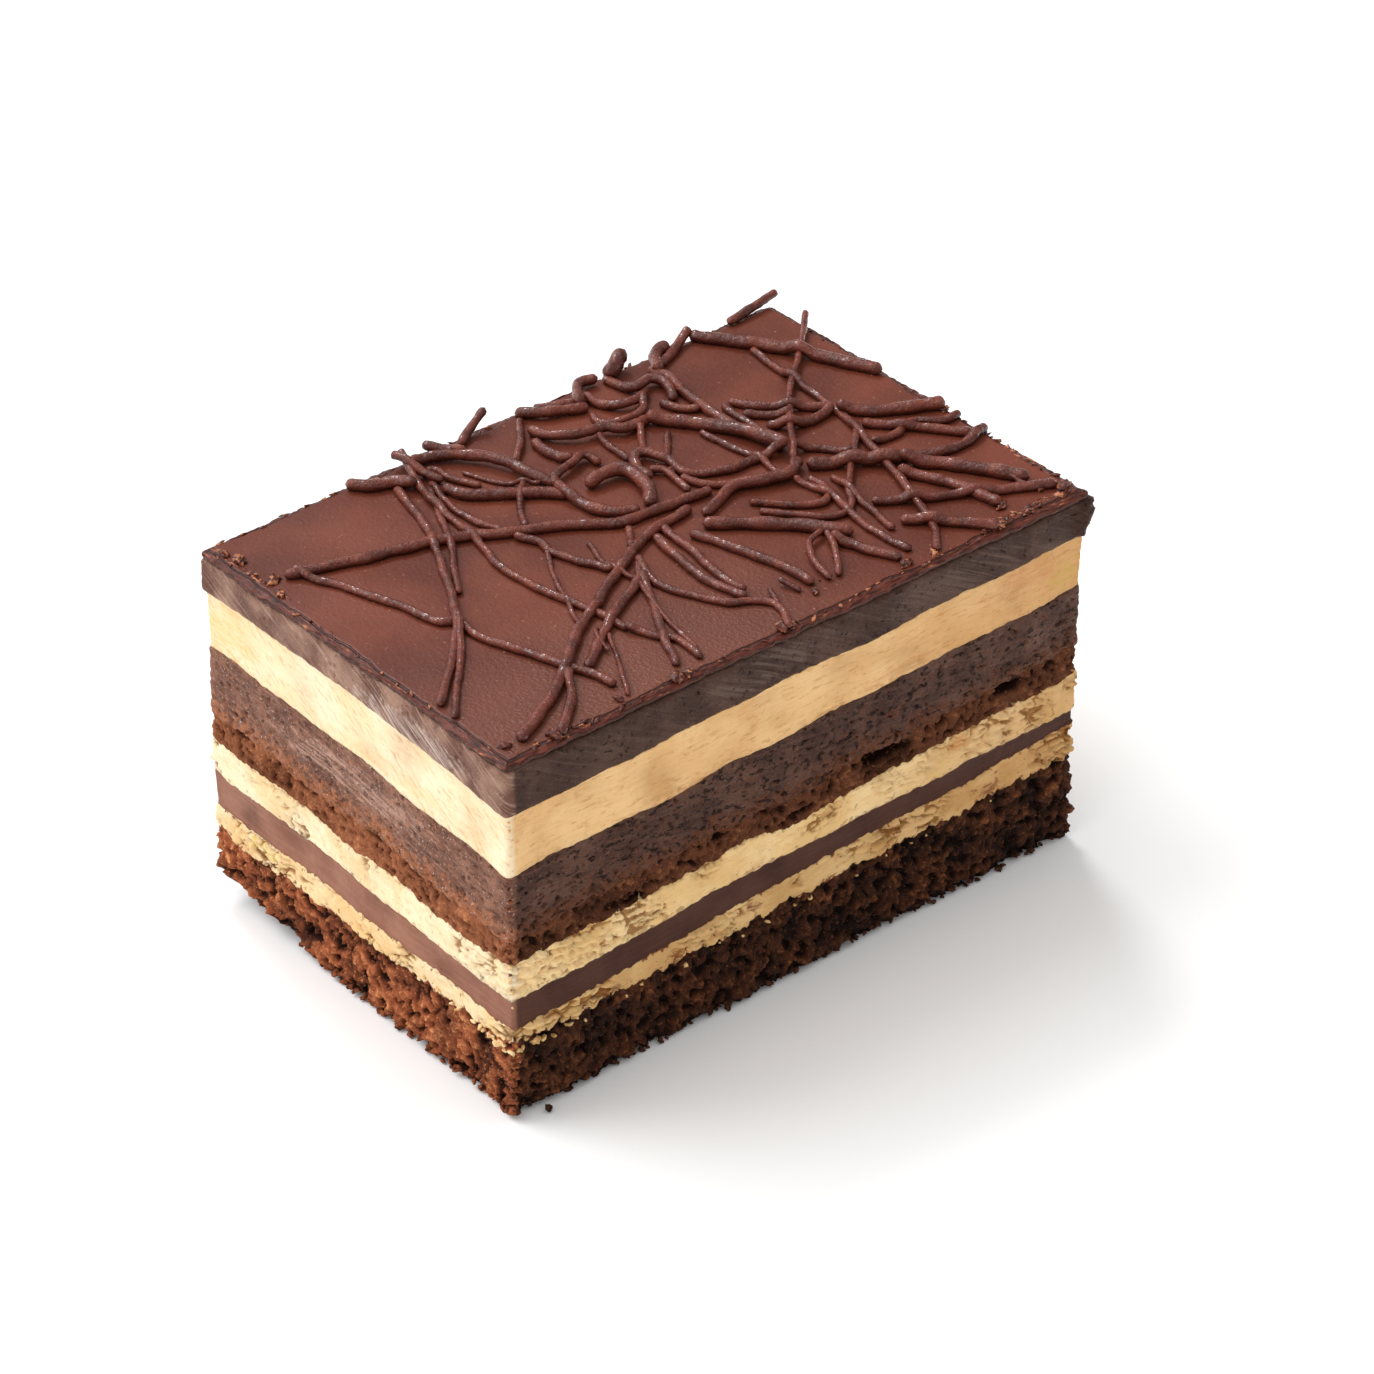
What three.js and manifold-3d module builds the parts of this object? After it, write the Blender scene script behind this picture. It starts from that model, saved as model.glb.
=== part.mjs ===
// A cut slice of opera cake: chocolate glaze with piped drizzle, ganache, coffee cream and soaked sponge,
// stacked in flat layers and cut on all four sides. Millimetres, +Z up. The origin is at the middle of
// the slice's footprint, on the surface it stands on. The front is the long cut side, at -Y.
import * as THREE from 'three';
import { mergeVertices } from 'three/addons/utils/BufferGeometryUtils.js';
import Module from 'manifold-3d';

const wasm = await Module();
wasm.setup();

// Driving dimensions of the slice.
const LENGTH = 80;
const DEPTH = 52.6;
const CORNER = 0.9; // how much the knife and handling have worn off each upright edge
const GLAZE = 1.05; // thickness of the glaze
const LIP = 0.5; // how unevenly the broken glaze stands out past the cut faces
const LIP_WAVE_LENGTH = 15;

// The knife's uneven faces.
const CUT_WAVE = 0.35; // depth of the slow waves in the cut
const CUT_WAVE_LENGTH = 34;
const LONG_STEPS = 17; // facets along the front and back
const SHORT_STEPS = 12; // facets along the two ends

// Every uneven face is the sum of these crossing waves: each one's direction and its start.
const WAVES = [
  { x: 1.9, y: 0.3, z: 0.7, shift: 0.6 },
  { x: -0.4, y: 1.7, z: -1.1, shift: 2.1 },
  { x: 0.9, y: 0.8, z: 1.6, shift: 4.4 },
  { x: -1.3, y: 1.1, z: 0.5, shift: 5.3 },
];

// The sponge at the bottom has lifted off the surface at the left back corner.
const LIFT = 3; // height of the lifted corner
const LIFT_REACH = 19; // how far from the corner the underside starts to rise
const FOOT_INSET = 7; // the flat underside starts this far in from the edge

// Piped drizzle.
const STRAND_SIDES = 5;
const STRAND_STEP = 3.6; // length of one facet along a strand
const STRAND_SUNK = 0.68; // part of its radius that a strand has sunk into the glaze
const STRAND_WOBBLE = 0.16; // how much a strand's radius varies
const STRAND_BEAT = 2.4; // how far that variation turns from one facet to the next, in radians
const STRAND_TIP = 0.62; // radius of a strand's end, as part of its own

// The heights of the lines between the layers, at the near (front left), right (front right) and left
// (back left) corners, and how far each line bows up in the middle of the front and of the left end.
const LINES = {
  glazeTop: { near: 45.6, right: 46.2, left: 45.5, frontBow: 0, leftBow: 0 },
  underGlaze: { near: 45.6 - GLAZE, right: 46.2 - GLAZE, left: 45.5 - GLAZE, frontBow: 0, leftBow: 0 },
  underGanacheTop: { near: 38.8, right: 40.6, left: 40.3, frontBow: 0, leftBow: 0.8 },
  underCreamTop: { near: 31.4, right: 33.8, left: 33.3, frontBow: 0.1, leftBow: 0.6 },
  underGanacheMiddle: { near: 23.3, right: 26.1, left: 25.0, frontBow: 0, leftBow: 0.2 },
  underSpongeMiddle: { near: 19.9, right: 22.5, left: 21.6, frontBow: 0, leftBow: -0.2 },
  underCreamMiddle: { near: 15.3, right: 17.7, left: 17.2, frontBow: 0.6, leftBow: 0.3 },
  underGanacheThin: { near: 11.5, right: 15.8, left: 12.4, frontBow: 0.3, leftBow: 0.6 },
  underCreamLow: { near: 9.7, right: 11.5, left: 9.0, frontBow: 0, leftBow: 0.1 },
};

// The layers from the top down: the lines they lie between, the facets up their side, how far the
// side swells out between them, and the height and size of its lumps.
const LAYERS = [
  {
    name: 'ganache_top', top: 'underGlaze', base: 'underGanacheTop',
    steps: 3, swell: 0.25, lumps: 0.3, lump: 14, colour: 0x6e554b, roughness: 0.45,
  },
  {
    name: 'cream_top', top: 'underGanacheTop', base: 'underCreamTop',
    steps: 3, swell: -0.1, lumps: 0.2, lump: 16, colour: 0xeccf9c, roughness: 0.6,
  },
  {
    name: 'ganache_middle', top: 'underCreamTop', base: 'underGanacheMiddle',
    steps: 3, swell: 0.1, lumps: 0.35, lump: 12, colour: 0x70503f, roughness: 0.55,
  },
  {
    name: 'sponge_middle', top: 'underGanacheMiddle', base: 'underSpongeMiddle',
    steps: 2, swell: -0.15, lumps: 0.45, lump: 10, colour: 0x7a4a2e, roughness: 0.9,
  },
  {
    name: 'cream_middle', top: 'underSpongeMiddle', base: 'underCreamMiddle',
    steps: 2, swell: 0.15, lumps: 0.4, lump: 12, colour: 0xeed29b, roughness: 0.6,
  },
  {
    name: 'ganache_thin', top: 'underCreamMiddle', base: 'underGanacheThin',
    steps: 2, swell: -0.1, lumps: 0.15, lump: 14, colour: 0x70503f, roughness: 0.5,
  },
  {
    name: 'cream_low', top: 'underGanacheThin', base: 'underCreamLow',
    steps: 2, swell: 0.15, lumps: 0.4, lump: 10, colour: 0xe2bf83, roughness: 0.6,
  },
];
const BASE = {
  name: 'sponge_base', top: 'underCreamLow',
  steps: 5, swell: 0.1, lumps: 0.6, lump: 11, colour: 0x63341f, roughness: 0.95,
};
const FOOT_ROUGH = 0.2; // how rough the base's bottom edge is, as the part of its height it is rough like
const GLAZE_LOOK = { name: 'top_glaze', colour: 0x7d5144, roughness: 0.4 };

// The glaze's edge from its underside up: height as part of its thickness, how far it stands out past
// the cut, and how ragged it is.
const GLAZE_EDGE = [
  { height: 0, out: 0, ragged: 0 },
  { height: 0.25, out: 0.35, ragged: 1 },
  { height: 0.65, out: 0, ragged: 0.9 },
  { height: 1, out: -1.3, ragged: 0.5 },
];

// The drizzle's strands, each piped as one line: its radius, then the places that it passes, as
// [x, y] or, where the strand leaves the glaze, [x, y, height above the glaze].
const STRANDS = [
  // Long lines on the left half.
  [
    0.62, [-36.8, 15.6], [-33, 14.4], [-25, 12], [-18.5, 10], [-14, 7.2],
    [-8, 4.3], [-3.5, 1], [1, 0.2], [8.6, -0.4],
  ],
  [0.5, [-35.6, 15.8], [-33, 9.5], [-30.8, 3], [-29.6, -1.6], [-27.9, -2.8]],
  [0.5, [-27.9, -2.6], [-28, -6.5], [-26, -12.5], [-24.5, -17.4], [-23.2, -20], [-22.8, -22.8]],
  [0.5, [-17, 22], [-19.7, 12.5], [-21.5, 9], [-24.5, 3], [-27.5, -2], [-31, -6.3], [-38.8, -14]],
  [0.42, [-14.2, 19.5], [-16.6, 15], [-18.8, 10.3], [-21.5, 6], [-24.6, 1.2]],
  [0.42, [-27.6, -2.4], [-30.4, -6.6], [-34.5, -11.4], [-39, -16.6]],
  [
    0.48, [-13.2, 26.4, 1.2], [-14.5, 22, 0.4], [-16, 16], [-16.6, 10],
    [-18, 2], [-17.6, -4], [-15.8, -11], [-15.3, -15.5],
  ],
  [0.45, [-15.4, -15], [-13.8, -18.5], [-12.6, -20.5], [-13, -24.6]],
  [
    0.62, [-36.6, -24.4], [-30, -20.8], [-25.5, -17.5], [-19.5, -12.7],
    [-14, -9.4], [-8.5, -6], [-2, -3], [4.6, -1.8],
  ],
  [0.55, [-32.6, -26], [-28.5, -22.4], [-25.2, -18]],
  [0.58, [-23.2, -18.6], [-20, -16.2], [-14, -12.2], [-9, -9.4], [-6.4, -6.6]],
  // Crossing lines on the left half.
  [0.5, [-13.4, 6.2], [-11.9, 3.2], [-12.1, 1.2], [-10.9, -2.4], [-9.4, -6]],
  [
    0.45, [-6.2, -6], [-7.4, -9.6], [-7.1, -12.6], [-4.4, -18.4],
    [-2.2, -19.8], [-0.6, -22], [-2.2, -26.2],
  ],
  [0.5, [-7.8, -8.6], [-10.4, -13.8], [-13, -18.4], [-15.8, -24]],
  [0.45, [-2.8, -0.4], [-4.2, -2.4], [-5.4, -4.2]],
  [0.55, [-1.9, -3.8], [-2.8, -9.8], [-3, -14.4], [-2.2, -19]],
  [0.5, [-0.2, -3], [-0.5, -8], [-1.4, -13], [-1.7, -18.2]],
  [0.7, [-21, 26], [-19, 24], [-16.4, 22.6], [-15.2, 20.6]],
  [
    0.66, [-13, 24.8], [-10.4, 24.1, 0.3], [-8, 22, 0.5],
    [-5.4, 17.8, 0.6], [-4.4, 13.6, 0.4], [-3.4, 11],
  ],
  [0.45, [-13.2, 22.4], [-11.5, 22.3], [-11.2, 19.8], [-9.6, 16.4]],
  [0.7, [-13.2, 18.6], [-12.2, 15.8], [-9.4, 13.6], [-6, 11], [-3.6, 8.6]],
  [0.42, [-13.4, 20.6], [-14.8, 15], [-14.6, 11.4], [-13.4, 8]],
  [0.4, [-6.2, 13.6, 0.6], [-8.6, 11.2], [-11, 7]],
  [0.5, [-3.9, 10.4], [-2.9, 12.2, 0.4], [0.4, 13, 0.6], [2.2, 13.6, 0.5], [3.1, 11.4]],
  [0.66, [-4.2, 10.4], [-3.6, 5.6], [-2.4, 3], [0.2, 1.4]],
  [0.8, [-1.4, 8.6], [0.6, 8.7, 0.5], [3.4, 8, 0.5], [3.4, 4.2, 0.3], [1.6, 1]],
  [0.42, [2, 24.6], [-1.2, 20.4, 0.3], [-4.8, 17]],
  [0.62, [0, 20], [0.1, 17], [0.8, 13.8]],
  // Loops and broken pieces in the middle.
  [0.62, [1.3, 22], [2, 19.2, 0.4], [4.2, 17.1, 0.6], [7.4, 16.4, 0.5], [9.4, 14.9, 0.4], [13, 15.3]],
  [0.65, [2.2, 25.8], [4.6, 23.2, 0.4], [9.4, 21.4]],
  [0.5, [4.5, 25.4], [7, 23.6, 0.4], [10.2, 22.8]],
  [0.56, [10.3, 24.8], [10.7, 21.4], [12, 19.2, 0.4], [14.2, 18.8, 0.5], [16.4, 20]],
  [0.45, [8.9, 20.4], [8.4, 18.2], [10.2, 16.5, 0.4], [13.2, 16.9, 0.4], [15, 19]],
  [
    0.6, [14.6, 25.4], [14.9, 22.6], [15.6, 21.1, 0.4],
    [18.3, 20.9, 0.5], [18.5, 18.4, 0.3], [17.4, 16.6],
  ],
  [0.62, [19.8, 23.4], [19.3, 16], [18.9, 11], [19.3, 5.4], [20.1, 0.8]],
  [0.5, [20.9, 12.2], [20.8, 6.4], [20.3, 1]],
  [0.78, [12.4, 15.2], [14.6, 13], [17.2, 9.2], [19, 5], [20, 0]],
  [0.5, [16.1, 17.4], [16.8, 14.8], [18.4, 13.2]],
  [0.45, [6.4, 16], [6, 13], [5.9, 10]],
  [0.45, [10.9, 14.5], [9.4, 12.2], [7.7, 10]],
  [0.42, [12.9, 12], [11.2, 10.1], [9, 7.3]],
  [
    0.56, [4.9, 5], [5.2, 8.2, 0.3], [7.1, 9.8, 0.5], [8.6, 7.2, 0.4],
    [9, 4], [12.4, 1.6], [16, 1.2], [20, 0.6],
  ],
  [0.42, [6, 7, 0.3], [7.2, 5.4, 0.3], [6.8, 1]],
  [0.42, [15.5, 9.6], [15.9, 6], [16.8, 1.2], [16.5, -2.6]],
  [0.48, [7.8, 3.5], [9, 0.8], [12.4, -1.5], [17, -3]],
  [
    0.66, [4.8, -3.8], [7.6, -2.8], [10.4, -1.8, 0.2],
    [13.6, -3, 0.4], [16.8, -3.9, 0.4], [19.6, -2.4, 0.3],
  ],
  [0.76, [3.4, -5.2], [7, -8.3], [11.4, -12.6], [14.8, -17]],
  [0.58, [1.4, -5.6], [3.2, -11.5], [4.8, -17.5], [5.2, -21.6]],
  [0.46, [10.3, -4.8], [14, -8.8], [16.4, -10], [18.4, -8.4], [18.3, -5.4]],
  [0.38, [12.2, -14.8, 0.6], [9.4, -15.8, 0.5], [7.4, -19.4, 0.3], [7.2, -22]],
  [0.38, [12.3, -15.3, 0.6], [10.8, -18.4, 0.5], [8.2, -22]],
  [0.56, [12.1, -16.2], [13.4, -19.6], [15.4, -24]],
  // Long lines and crossings on the right half.
  [0.42, [41, 21.4, 0.4], [35, 15.3, 0.4], [29, 10, 0.4], [24.5, 5, 0.5], [20.8, 0, 0.6], [17.4, -4]],
  [0.42, [29.9, -0.2], [25, -5.2, 0.4], [20.4, -9.7, 0.3], [17.6, -13.2], [14.6, -12.4], [9.8, -6.8]],
  [
    0.46, [31.3, 19.4], [30.6, 12], [29.8, 2.4], [27.6, -5.2, 0.3],
    [24.9, -14, 0.4], [22.2, -21.2], [19.6, -25.2],
  ],
  [0.45, [16.8, -4.6], [17.9, -9.4], [16.8, -16], [17.1, -23.4]],
  [0.42, [20.5, -6.6], [19.8, -12.4], [18.6, -19]],
  [0.75, [27.8, 26.2], [31.6, 20.4], [34.6, 15.4], [39.3, 6.2]],
  [0.52, [21.8, 12.4], [25, 8.4], [29.8, 4.2]],
  [0.5, [21.5, 9.3], [23.6, 7.2], [25.4, 5.8]],
  [0.6, [21.8, 5.8], [25, 3.5], [29.8, 3.5]],
  [0.75, [29.9, 3.1], [33.4, -0.3], [40, -3.4]],
  [0.5, [28.4, -4.3], [31.6, -4.8], [34.6, -3.9], [37.6, -6], [40, -5.9]],
  [0.58, [30.2, -0.6], [33.4, -4.5], [38.2, -10]],
  [0.58, [27.4, -7.4], [31.2, -10.2], [35.4, -11.1], [40.2, -9.9]],
  [0.75, [19.6, -3.6], [23.4, -6], [28.4, -9.4]],
  [0.46, [20.6, 0.4], [23, -1.4], [25.4, -4.6]],
  [0.66, [26.4, -10.8], [29.2, -16.4], [30.7, -22.8]],
  [0.76, [27.8, -9.2], [32.2, -14.2], [36.4, -21]],
  [0.58, [20.4, -13.4], [24.4, -16.2], [30, -19.4], [38.2, -23.8]],
  [0.66, [20.2, -18.2], [24, -22], [27.6, -26]],
  // Ends that stick up or out over the back edge.
  [0.6, [21.2, 23.2], [24.6, 25], [28, 26.5, 0.6]],
  [1.1, [16.8, 25.4], [18.5, 26, 0.5], [20.2, 26.5, 1.4]],
  [0.5, [-5, 25.6], [-3, 26.3, 0.9], [-1.2, 26.8, 2]],
  [0.5, [33, 25.6], [36.5, 26, 0.3], [41, 26.5, 0.7]],
  [0.8, [-14.8, 25.3], [-14.3, 26.3, 1.2]],
  [0.9, [-10.6, 25.2], [-10.3, 26.2, 1.2]],
  [1, [12.2, 25], [11.8, 26.2, 1]],
];

// Broken crumbs of glaze where the knife dragged the strands' ends: along the front, at the right
// front corner and at the left back corner. Each run has a start, an end, a count and a size.
const CRUMB_RUNS = [
  { from: [-37, -25.6], to: [-28, -25.8], count: 4, size: 1.2 },
  { from: [29, -25.4], to: [39.3, -25], count: 6, size: 1.5 },
  { from: [39.6, -22], to: [40, -16], count: 2, size: 1.3 },
  { from: [-39.3, 24], to: [-38.6, 13], count: 4, size: 1.2 },
];
const CRUMB_SMALLER = 0.4; // the least crumb of a run is this part smaller than its size
const CRUMB_STRAY = 0.7; // how far a crumb strays along its run, as part of the space for each
const CRUMB_ROUGH = 0.25; // how far a crumb's corners stand in or out, as part of its size
const CRUMB_FLAT = 0.7; // height of a crumb to its width
const CRUMB_RISE = 0.1; // height of its middle above the glaze, as part of its size
const CRUMB_SEED = 5;
const WELD = 1e-4; // corners this near to each other are one
const SLIVER = 0.005; // detail finer than this, left where strands are joined, is smoothed away

// Seeded randomness, the same each time.
const RANDOM_STEP = 1664525;
const RANDOM_SHIFT = 1013904223;
const RANDOM_SPAN = 2 ** 32;
function seeded(seed) {
  let state = seed;
  return {
    random() {
      state = (state * RANDOM_STEP + RANDOM_SHIFT) % RANDOM_SPAN;
      return state / RANDOM_SPAN;
    },
  };
}

// An uneven surface: crossing waves of about the given length, between -1 and 1.
function waves(x, y, z, length) {
  const turn = (2 * Math.PI) / length;
  let sum = 0;
  for (const wave of WAVES) {
    sum += Math.sin(turn * (wave.x * x + wave.y * y + wave.z * z) + wave.shift);
  }
  return sum / WAVES.length;
}

// Height of a line between two layers at a place on the slice.
function lineHeight({ near, right, left, frontBow, leftBow }, x, y) {
  const u = x / LENGTH + 0.5;
  const v = y / DEPTH + 0.5;
  const tilt = near + (right - near) * u + (left - near) * v;
  return tilt + frontBow * Math.sin(Math.PI * u) * (1 - v) + leftBow * Math.sin(Math.PI * v) * (1 - u);
}

// The slice's outline, counter-clockwise from above: places along the four cut sides, with the
// direction that each side faces.
function sliceOutline() {
  const sides = [
    { facing: [0, -1], half: DEPTH / 2, run: LENGTH, steps: LONG_STEPS },
    { facing: [1, 0], half: LENGTH / 2, run: DEPTH, steps: SHORT_STEPS },
    { facing: [0, 1], half: DEPTH / 2, run: LENGTH, steps: LONG_STEPS },
    { facing: [-1, 0], half: LENGTH / 2, run: DEPTH, steps: SHORT_STEPS },
  ];
  const outline = [];
  for (const { facing, half, run, steps } of sides) {
    for (let i = 0; i <= steps; i += 1) {
      const along = -run / 2 + CORNER + (i / steps) * (run - 2 * CORNER);
      outline.push({
        x: facing[0] * half - facing[1] * along,
        y: facing[1] * half + facing[0] * along,
        out: facing,
      });
    }
  }
  return outline;
}
const OUTLINE = sliceOutline();

// How far the cut face stands out from flat at a place and height.
function cutWave(x, y, z) {
  return CUT_WAVE * waves(x, y, z, CUT_WAVE_LENGTH);
}

// A layer's solid: a cylinder whose rings are drawn out to the slice's outline. The place of each
// ring comes from ringPlace(outline point, ring number), and middleHeight gives the two ends' centres.
function layerGeometry(steps, ringPlace, middleHeight) {
  const geometry = new THREE.CylinderGeometry(1, 1, 1, OUTLINE.length, steps);
  geometry.deleteAttribute('normal');
  geometry.deleteAttribute('uv');
  const position = geometry.getAttribute('position');
  for (let i = 0; i < position.count; i += 1) {
    const level = position.getY(i) + 0.5;
    if (Math.hypot(position.getX(i), position.getZ(i)) < 0.5) {
      position.setXYZ(i, 0, 0, middleHeight(level > 0.5));
      continue;
    }
    const turn = Math.atan2(position.getX(i), position.getZ(i)) / (2 * Math.PI);
    const corner = (Math.round(turn * OUTLINE.length) + OUTLINE.length) % OUTLINE.length;
    const place = ringPlace(OUTLINE[corner], Math.round(level * steps));
    position.setXYZ(i, place.x, place.y, place.z);
  }
  return mergeVertices(geometry, WELD);
}

// A place on the cut face, moved out or in by the given amount.
function onFace({ x, y, out }, z, outBy) {
  const shift = outBy + cutWave(x, y, z);
  return { x: x + out[0] * shift, y: y + out[1] * shift, z };
}

// The side of a cream, ganache or sponge layer swells and has lumps between its two lines.
function faceRelief(layer, { x, y }, z, rise) {
  return Math.sin(Math.PI * rise) * (layer.swell + layer.lumps * waves(x, y, z, layer.lump));
}

function fillingGeometry(layer) {
  const top = LINES[layer.top];
  const base = LINES[layer.base];
  return layerGeometry(
    layer.steps,
    (point, ring) => {
      const rise = ring / layer.steps;
      const low = lineHeight(base, point.x, point.y);
      const z = low + rise * (lineHeight(top, point.x, point.y) - low);
      const relief = ring === 0 || ring === layer.steps ? 0 : faceRelief(layer, point, z, rise);
      return onFace(point, z, relief);
    },
    (upper) => lineHeight(upper ? top : base, 0, 0),
  );
}

// The bottom sponge: its lowest ring is the edge of the flat underside, a little way in, and the
// next is the bottom edge of the cut face, which rises at the left back corner.
function cornerLift(x, y) {
  const away = Math.hypot(x + LENGTH / 2, y - DEPTH / 2);
  return LIFT * Math.max(0, 1 - away / LIFT_REACH);
}

function baseGeometry(layer) {
  const top = LINES[layer.top];
  const wallSteps = layer.steps - 1;
  return layerGeometry(
    layer.steps,
    (point, ring) => {
      if (ring === 0) {
        return {
          x: point.x * (1 - (2 * FOOT_INSET) / LENGTH),
          y: point.y * (1 - (2 * FOOT_INSET) / DEPTH),
          z: 0,
        };
      }
      const rise = (ring - 1) / wallSteps;
      const low = cornerLift(point.x, point.y);
      const z = low + rise * (lineHeight(top, point.x, point.y) - low);
      const relief = ring === layer.steps ? 0 : faceRelief(layer, point, z, Math.max(rise, FOOT_ROUGH));
      return onFace(point, z, relief);
    },
    (upper) => (upper ? lineHeight(top, 0, 0) : 0),
  );
}

// The glaze: its broken edge stands out past the cut faces by an uneven lip and slopes in to the top.
function glazeGeometry() {
  return layerGeometry(
    GLAZE_EDGE.length - 1,
    (point, number) => {
      const ring = GLAZE_EDGE[number];
      const ragged = ring.ragged * LIP * waves(point.x, point.y, 0, LIP_WAVE_LENGTH);
      const edge = onFace(point, lineHeight(LINES.underGlaze, point.x, point.y), ring.out + ragged);
      if (number > 0) {
        edge.z = lineHeight(LINES.underGlaze, edge.x, edge.y) + ring.height * GLAZE;
      }
      return edge;
    },
    (upper) => lineHeight(upper ? LINES.glazeTop : LINES.underGlaze, 0, 0),
  );
}

// One strand of drizzle: a cylinder bent along its line, a little uneven and narrower at its ends.
function strandGeometry([radius, ...places], number) {
  const line = new THREE.CatmullRomCurve3(places.map(([x, y, above = 0]) => new THREE.Vector3(
    x,
    y,
    lineHeight(LINES.glazeTop, x, y) + radius * (1 - STRAND_SUNK) + above,
  )));
  const steps = Math.max(2, Math.round(line.getLength() / STRAND_STEP));
  const frames = line.computeFrenetFrames(steps, false);
  const geometry = new THREE.CylinderGeometry(1, 1, 1, STRAND_SIDES, steps);
  geometry.deleteAttribute('normal');
  geometry.deleteAttribute('uv');
  const position = geometry.getAttribute('position');
  const point = new THREE.Vector3();
  for (let i = 0; i < position.count; i += 1) {
    const ring = Math.round((position.getY(i) + 0.5) * steps);
    const end = ring === 0 || ring === steps;
    const uneven = 1 + STRAND_WOBBLE * Math.sin(number + STRAND_BEAT * ring);
    const thick = radius * (end ? STRAND_TIP : uneven);
    line.getPointAt(ring / steps, point);
    point.addScaledVector(frames.normals[ring], position.getZ(i) * thick);
    point.addScaledVector(frames.binormals[ring], position.getX(i) * thick);
    position.setXYZ(i, point.x, point.y, point.z);
  }
  return mergeVertices(geometry, WELD);
}

// A crumb of broken glaze: a rough, flattened ball sunk into the glaze.
function crumbGeometry(x, y, size, scatter) {
  const geometry = new THREE.IcosahedronGeometry(size, 0);
  geometry.deleteAttribute('normal');
  geometry.deleteAttribute('uv');
  const crumb = mergeVertices(geometry, WELD);
  const position = crumb.getAttribute('position');
  for (let i = 0; i < position.count; i += 1) {
    const reach = 1 + CRUMB_ROUGH * (2 * scatter.random() - 1);
    position.setXYZ(
      i,
      position.getX(i) * reach,
      position.getY(i) * reach,
      position.getZ(i) * reach * CRUMB_FLAT,
    );
  }
  crumb.translate(x, y, lineHeight(LINES.glazeTop, x, y) + size * CRUMB_RISE);
  return crumb;
}

// Between a geometry and a solid for joining.
function solidOf(geometry) {
  return new wasm.Manifold(new wasm.Mesh({
    numProp: 3,
    vertProperties: new Float32Array(geometry.getAttribute('position').array),
    triVerts: new Uint32Array(geometry.index.array),
  }));
}

function geometryOf(solid) {
  const mesh = solid.getMesh();
  const geometry = new THREE.BufferGeometry();
  geometry.setAttribute('position', new THREE.BufferAttribute(mesh.vertProperties, 3));
  geometry.setIndex(new THREE.BufferAttribute(mesh.triVerts, 1));
  return geometry;
}

// Of all closed skins the largest is the outside: a bubble sealed between strands is filled, and a
// loose scrap is dropped.
function filledAndCleared(solid) {
  const skins = solid.decompose();
  return skins.reduce((largest, skin) => (skin.volume() > largest.volume() ? skin : largest));
}

// The glaze with its drizzle and broken crumbs as one solid.
function glazeWithDrizzle() {
  let solid = solidOf(glazeGeometry());
  STRANDS.forEach((strand, number) => {
    solid = solid.add(solidOf(strandGeometry(strand, number)));
  });
  const scatter = seeded(CRUMB_SEED);
  for (const { from, to, count, size } of CRUMB_RUNS) {
    for (let i = 0; i < count; i += 1) {
      const along = (i + CRUMB_STRAY * scatter.random()) / count;
      const x = from[0] + (to[0] - from[0]) * along;
      const y = from[1] + (to[1] - from[1]) * along;
      const own = size * (1 - CRUMB_SMALLER * scatter.random());
      solid = solid.add(solidOf(crumbGeometry(x, y, own, scatter)));
    }
  }
  return geometryOf(filledAndCleared(solid).asOriginal().simplify(SLIVER));
}

function piece(geometry, { name, colour, roughness }) {
  const material = new THREE.MeshStandardMaterial({ color: colour, roughness, metalness: 0 });
  geometry.computeVertexNormals();
  const mesh = new THREE.Mesh(geometry, material);
  mesh.name = name;
  return mesh;
}

const cake = new THREE.Group();
cake.add(piece(glazeWithDrizzle(), GLAZE_LOOK));
for (const layer of LAYERS) {
  cake.add(piece(fillingGeometry(layer), layer));
}
cake.add(piece(baseGeometry(BASE), BASE));

export default cake;
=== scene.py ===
import math
import random
import bmesh
import bpy
from mathutils import Matrix, Vector, geometry, kdtree, noise


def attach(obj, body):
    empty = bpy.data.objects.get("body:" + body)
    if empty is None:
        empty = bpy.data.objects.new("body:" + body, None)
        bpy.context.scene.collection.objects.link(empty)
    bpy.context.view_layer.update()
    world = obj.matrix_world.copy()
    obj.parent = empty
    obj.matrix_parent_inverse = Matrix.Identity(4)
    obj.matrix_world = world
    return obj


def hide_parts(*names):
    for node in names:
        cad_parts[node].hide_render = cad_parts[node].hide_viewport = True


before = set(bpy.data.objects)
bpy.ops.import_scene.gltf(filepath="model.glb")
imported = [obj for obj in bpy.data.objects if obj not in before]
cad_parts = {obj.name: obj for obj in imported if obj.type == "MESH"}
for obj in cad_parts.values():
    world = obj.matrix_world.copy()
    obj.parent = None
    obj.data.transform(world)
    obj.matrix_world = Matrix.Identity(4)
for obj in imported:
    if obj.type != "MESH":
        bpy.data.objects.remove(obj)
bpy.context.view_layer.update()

# The photographer's camera: a long lens close above the table, which looks down on the near upright
# edge between the left end and the long front. The slice stands a little right of the picture's middle.
MM = 0.001
CAMERA_TURN = math.radians(-39.78)
CAMERA_RISE = math.radians(34.04)
CAMERA_AWAY = 604.1
CAMERA_TARGET = Vector((0, 0, 23.05))
CAMERA_SLIDE = (4.344, 0.856)  # right and up, in the picture's plane
LENS = 144.1
SENSOR = 36
CLIP = (0.01, 10)  # nearest and farthest that it sees, in metres

back = Vector((
    math.sin(CAMERA_TURN) * math.cos(CAMERA_RISE),
    -math.cos(CAMERA_TURN) * math.cos(CAMERA_RISE),
    math.sin(CAMERA_RISE),
))
right = Vector((math.cos(CAMERA_TURN), math.sin(CAMERA_TURN), 0))
up = back.cross(right)
eye = CAMERA_TARGET + back * CAMERA_AWAY + right * CAMERA_SLIDE[0] + up * CAMERA_SLIDE[1]

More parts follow.
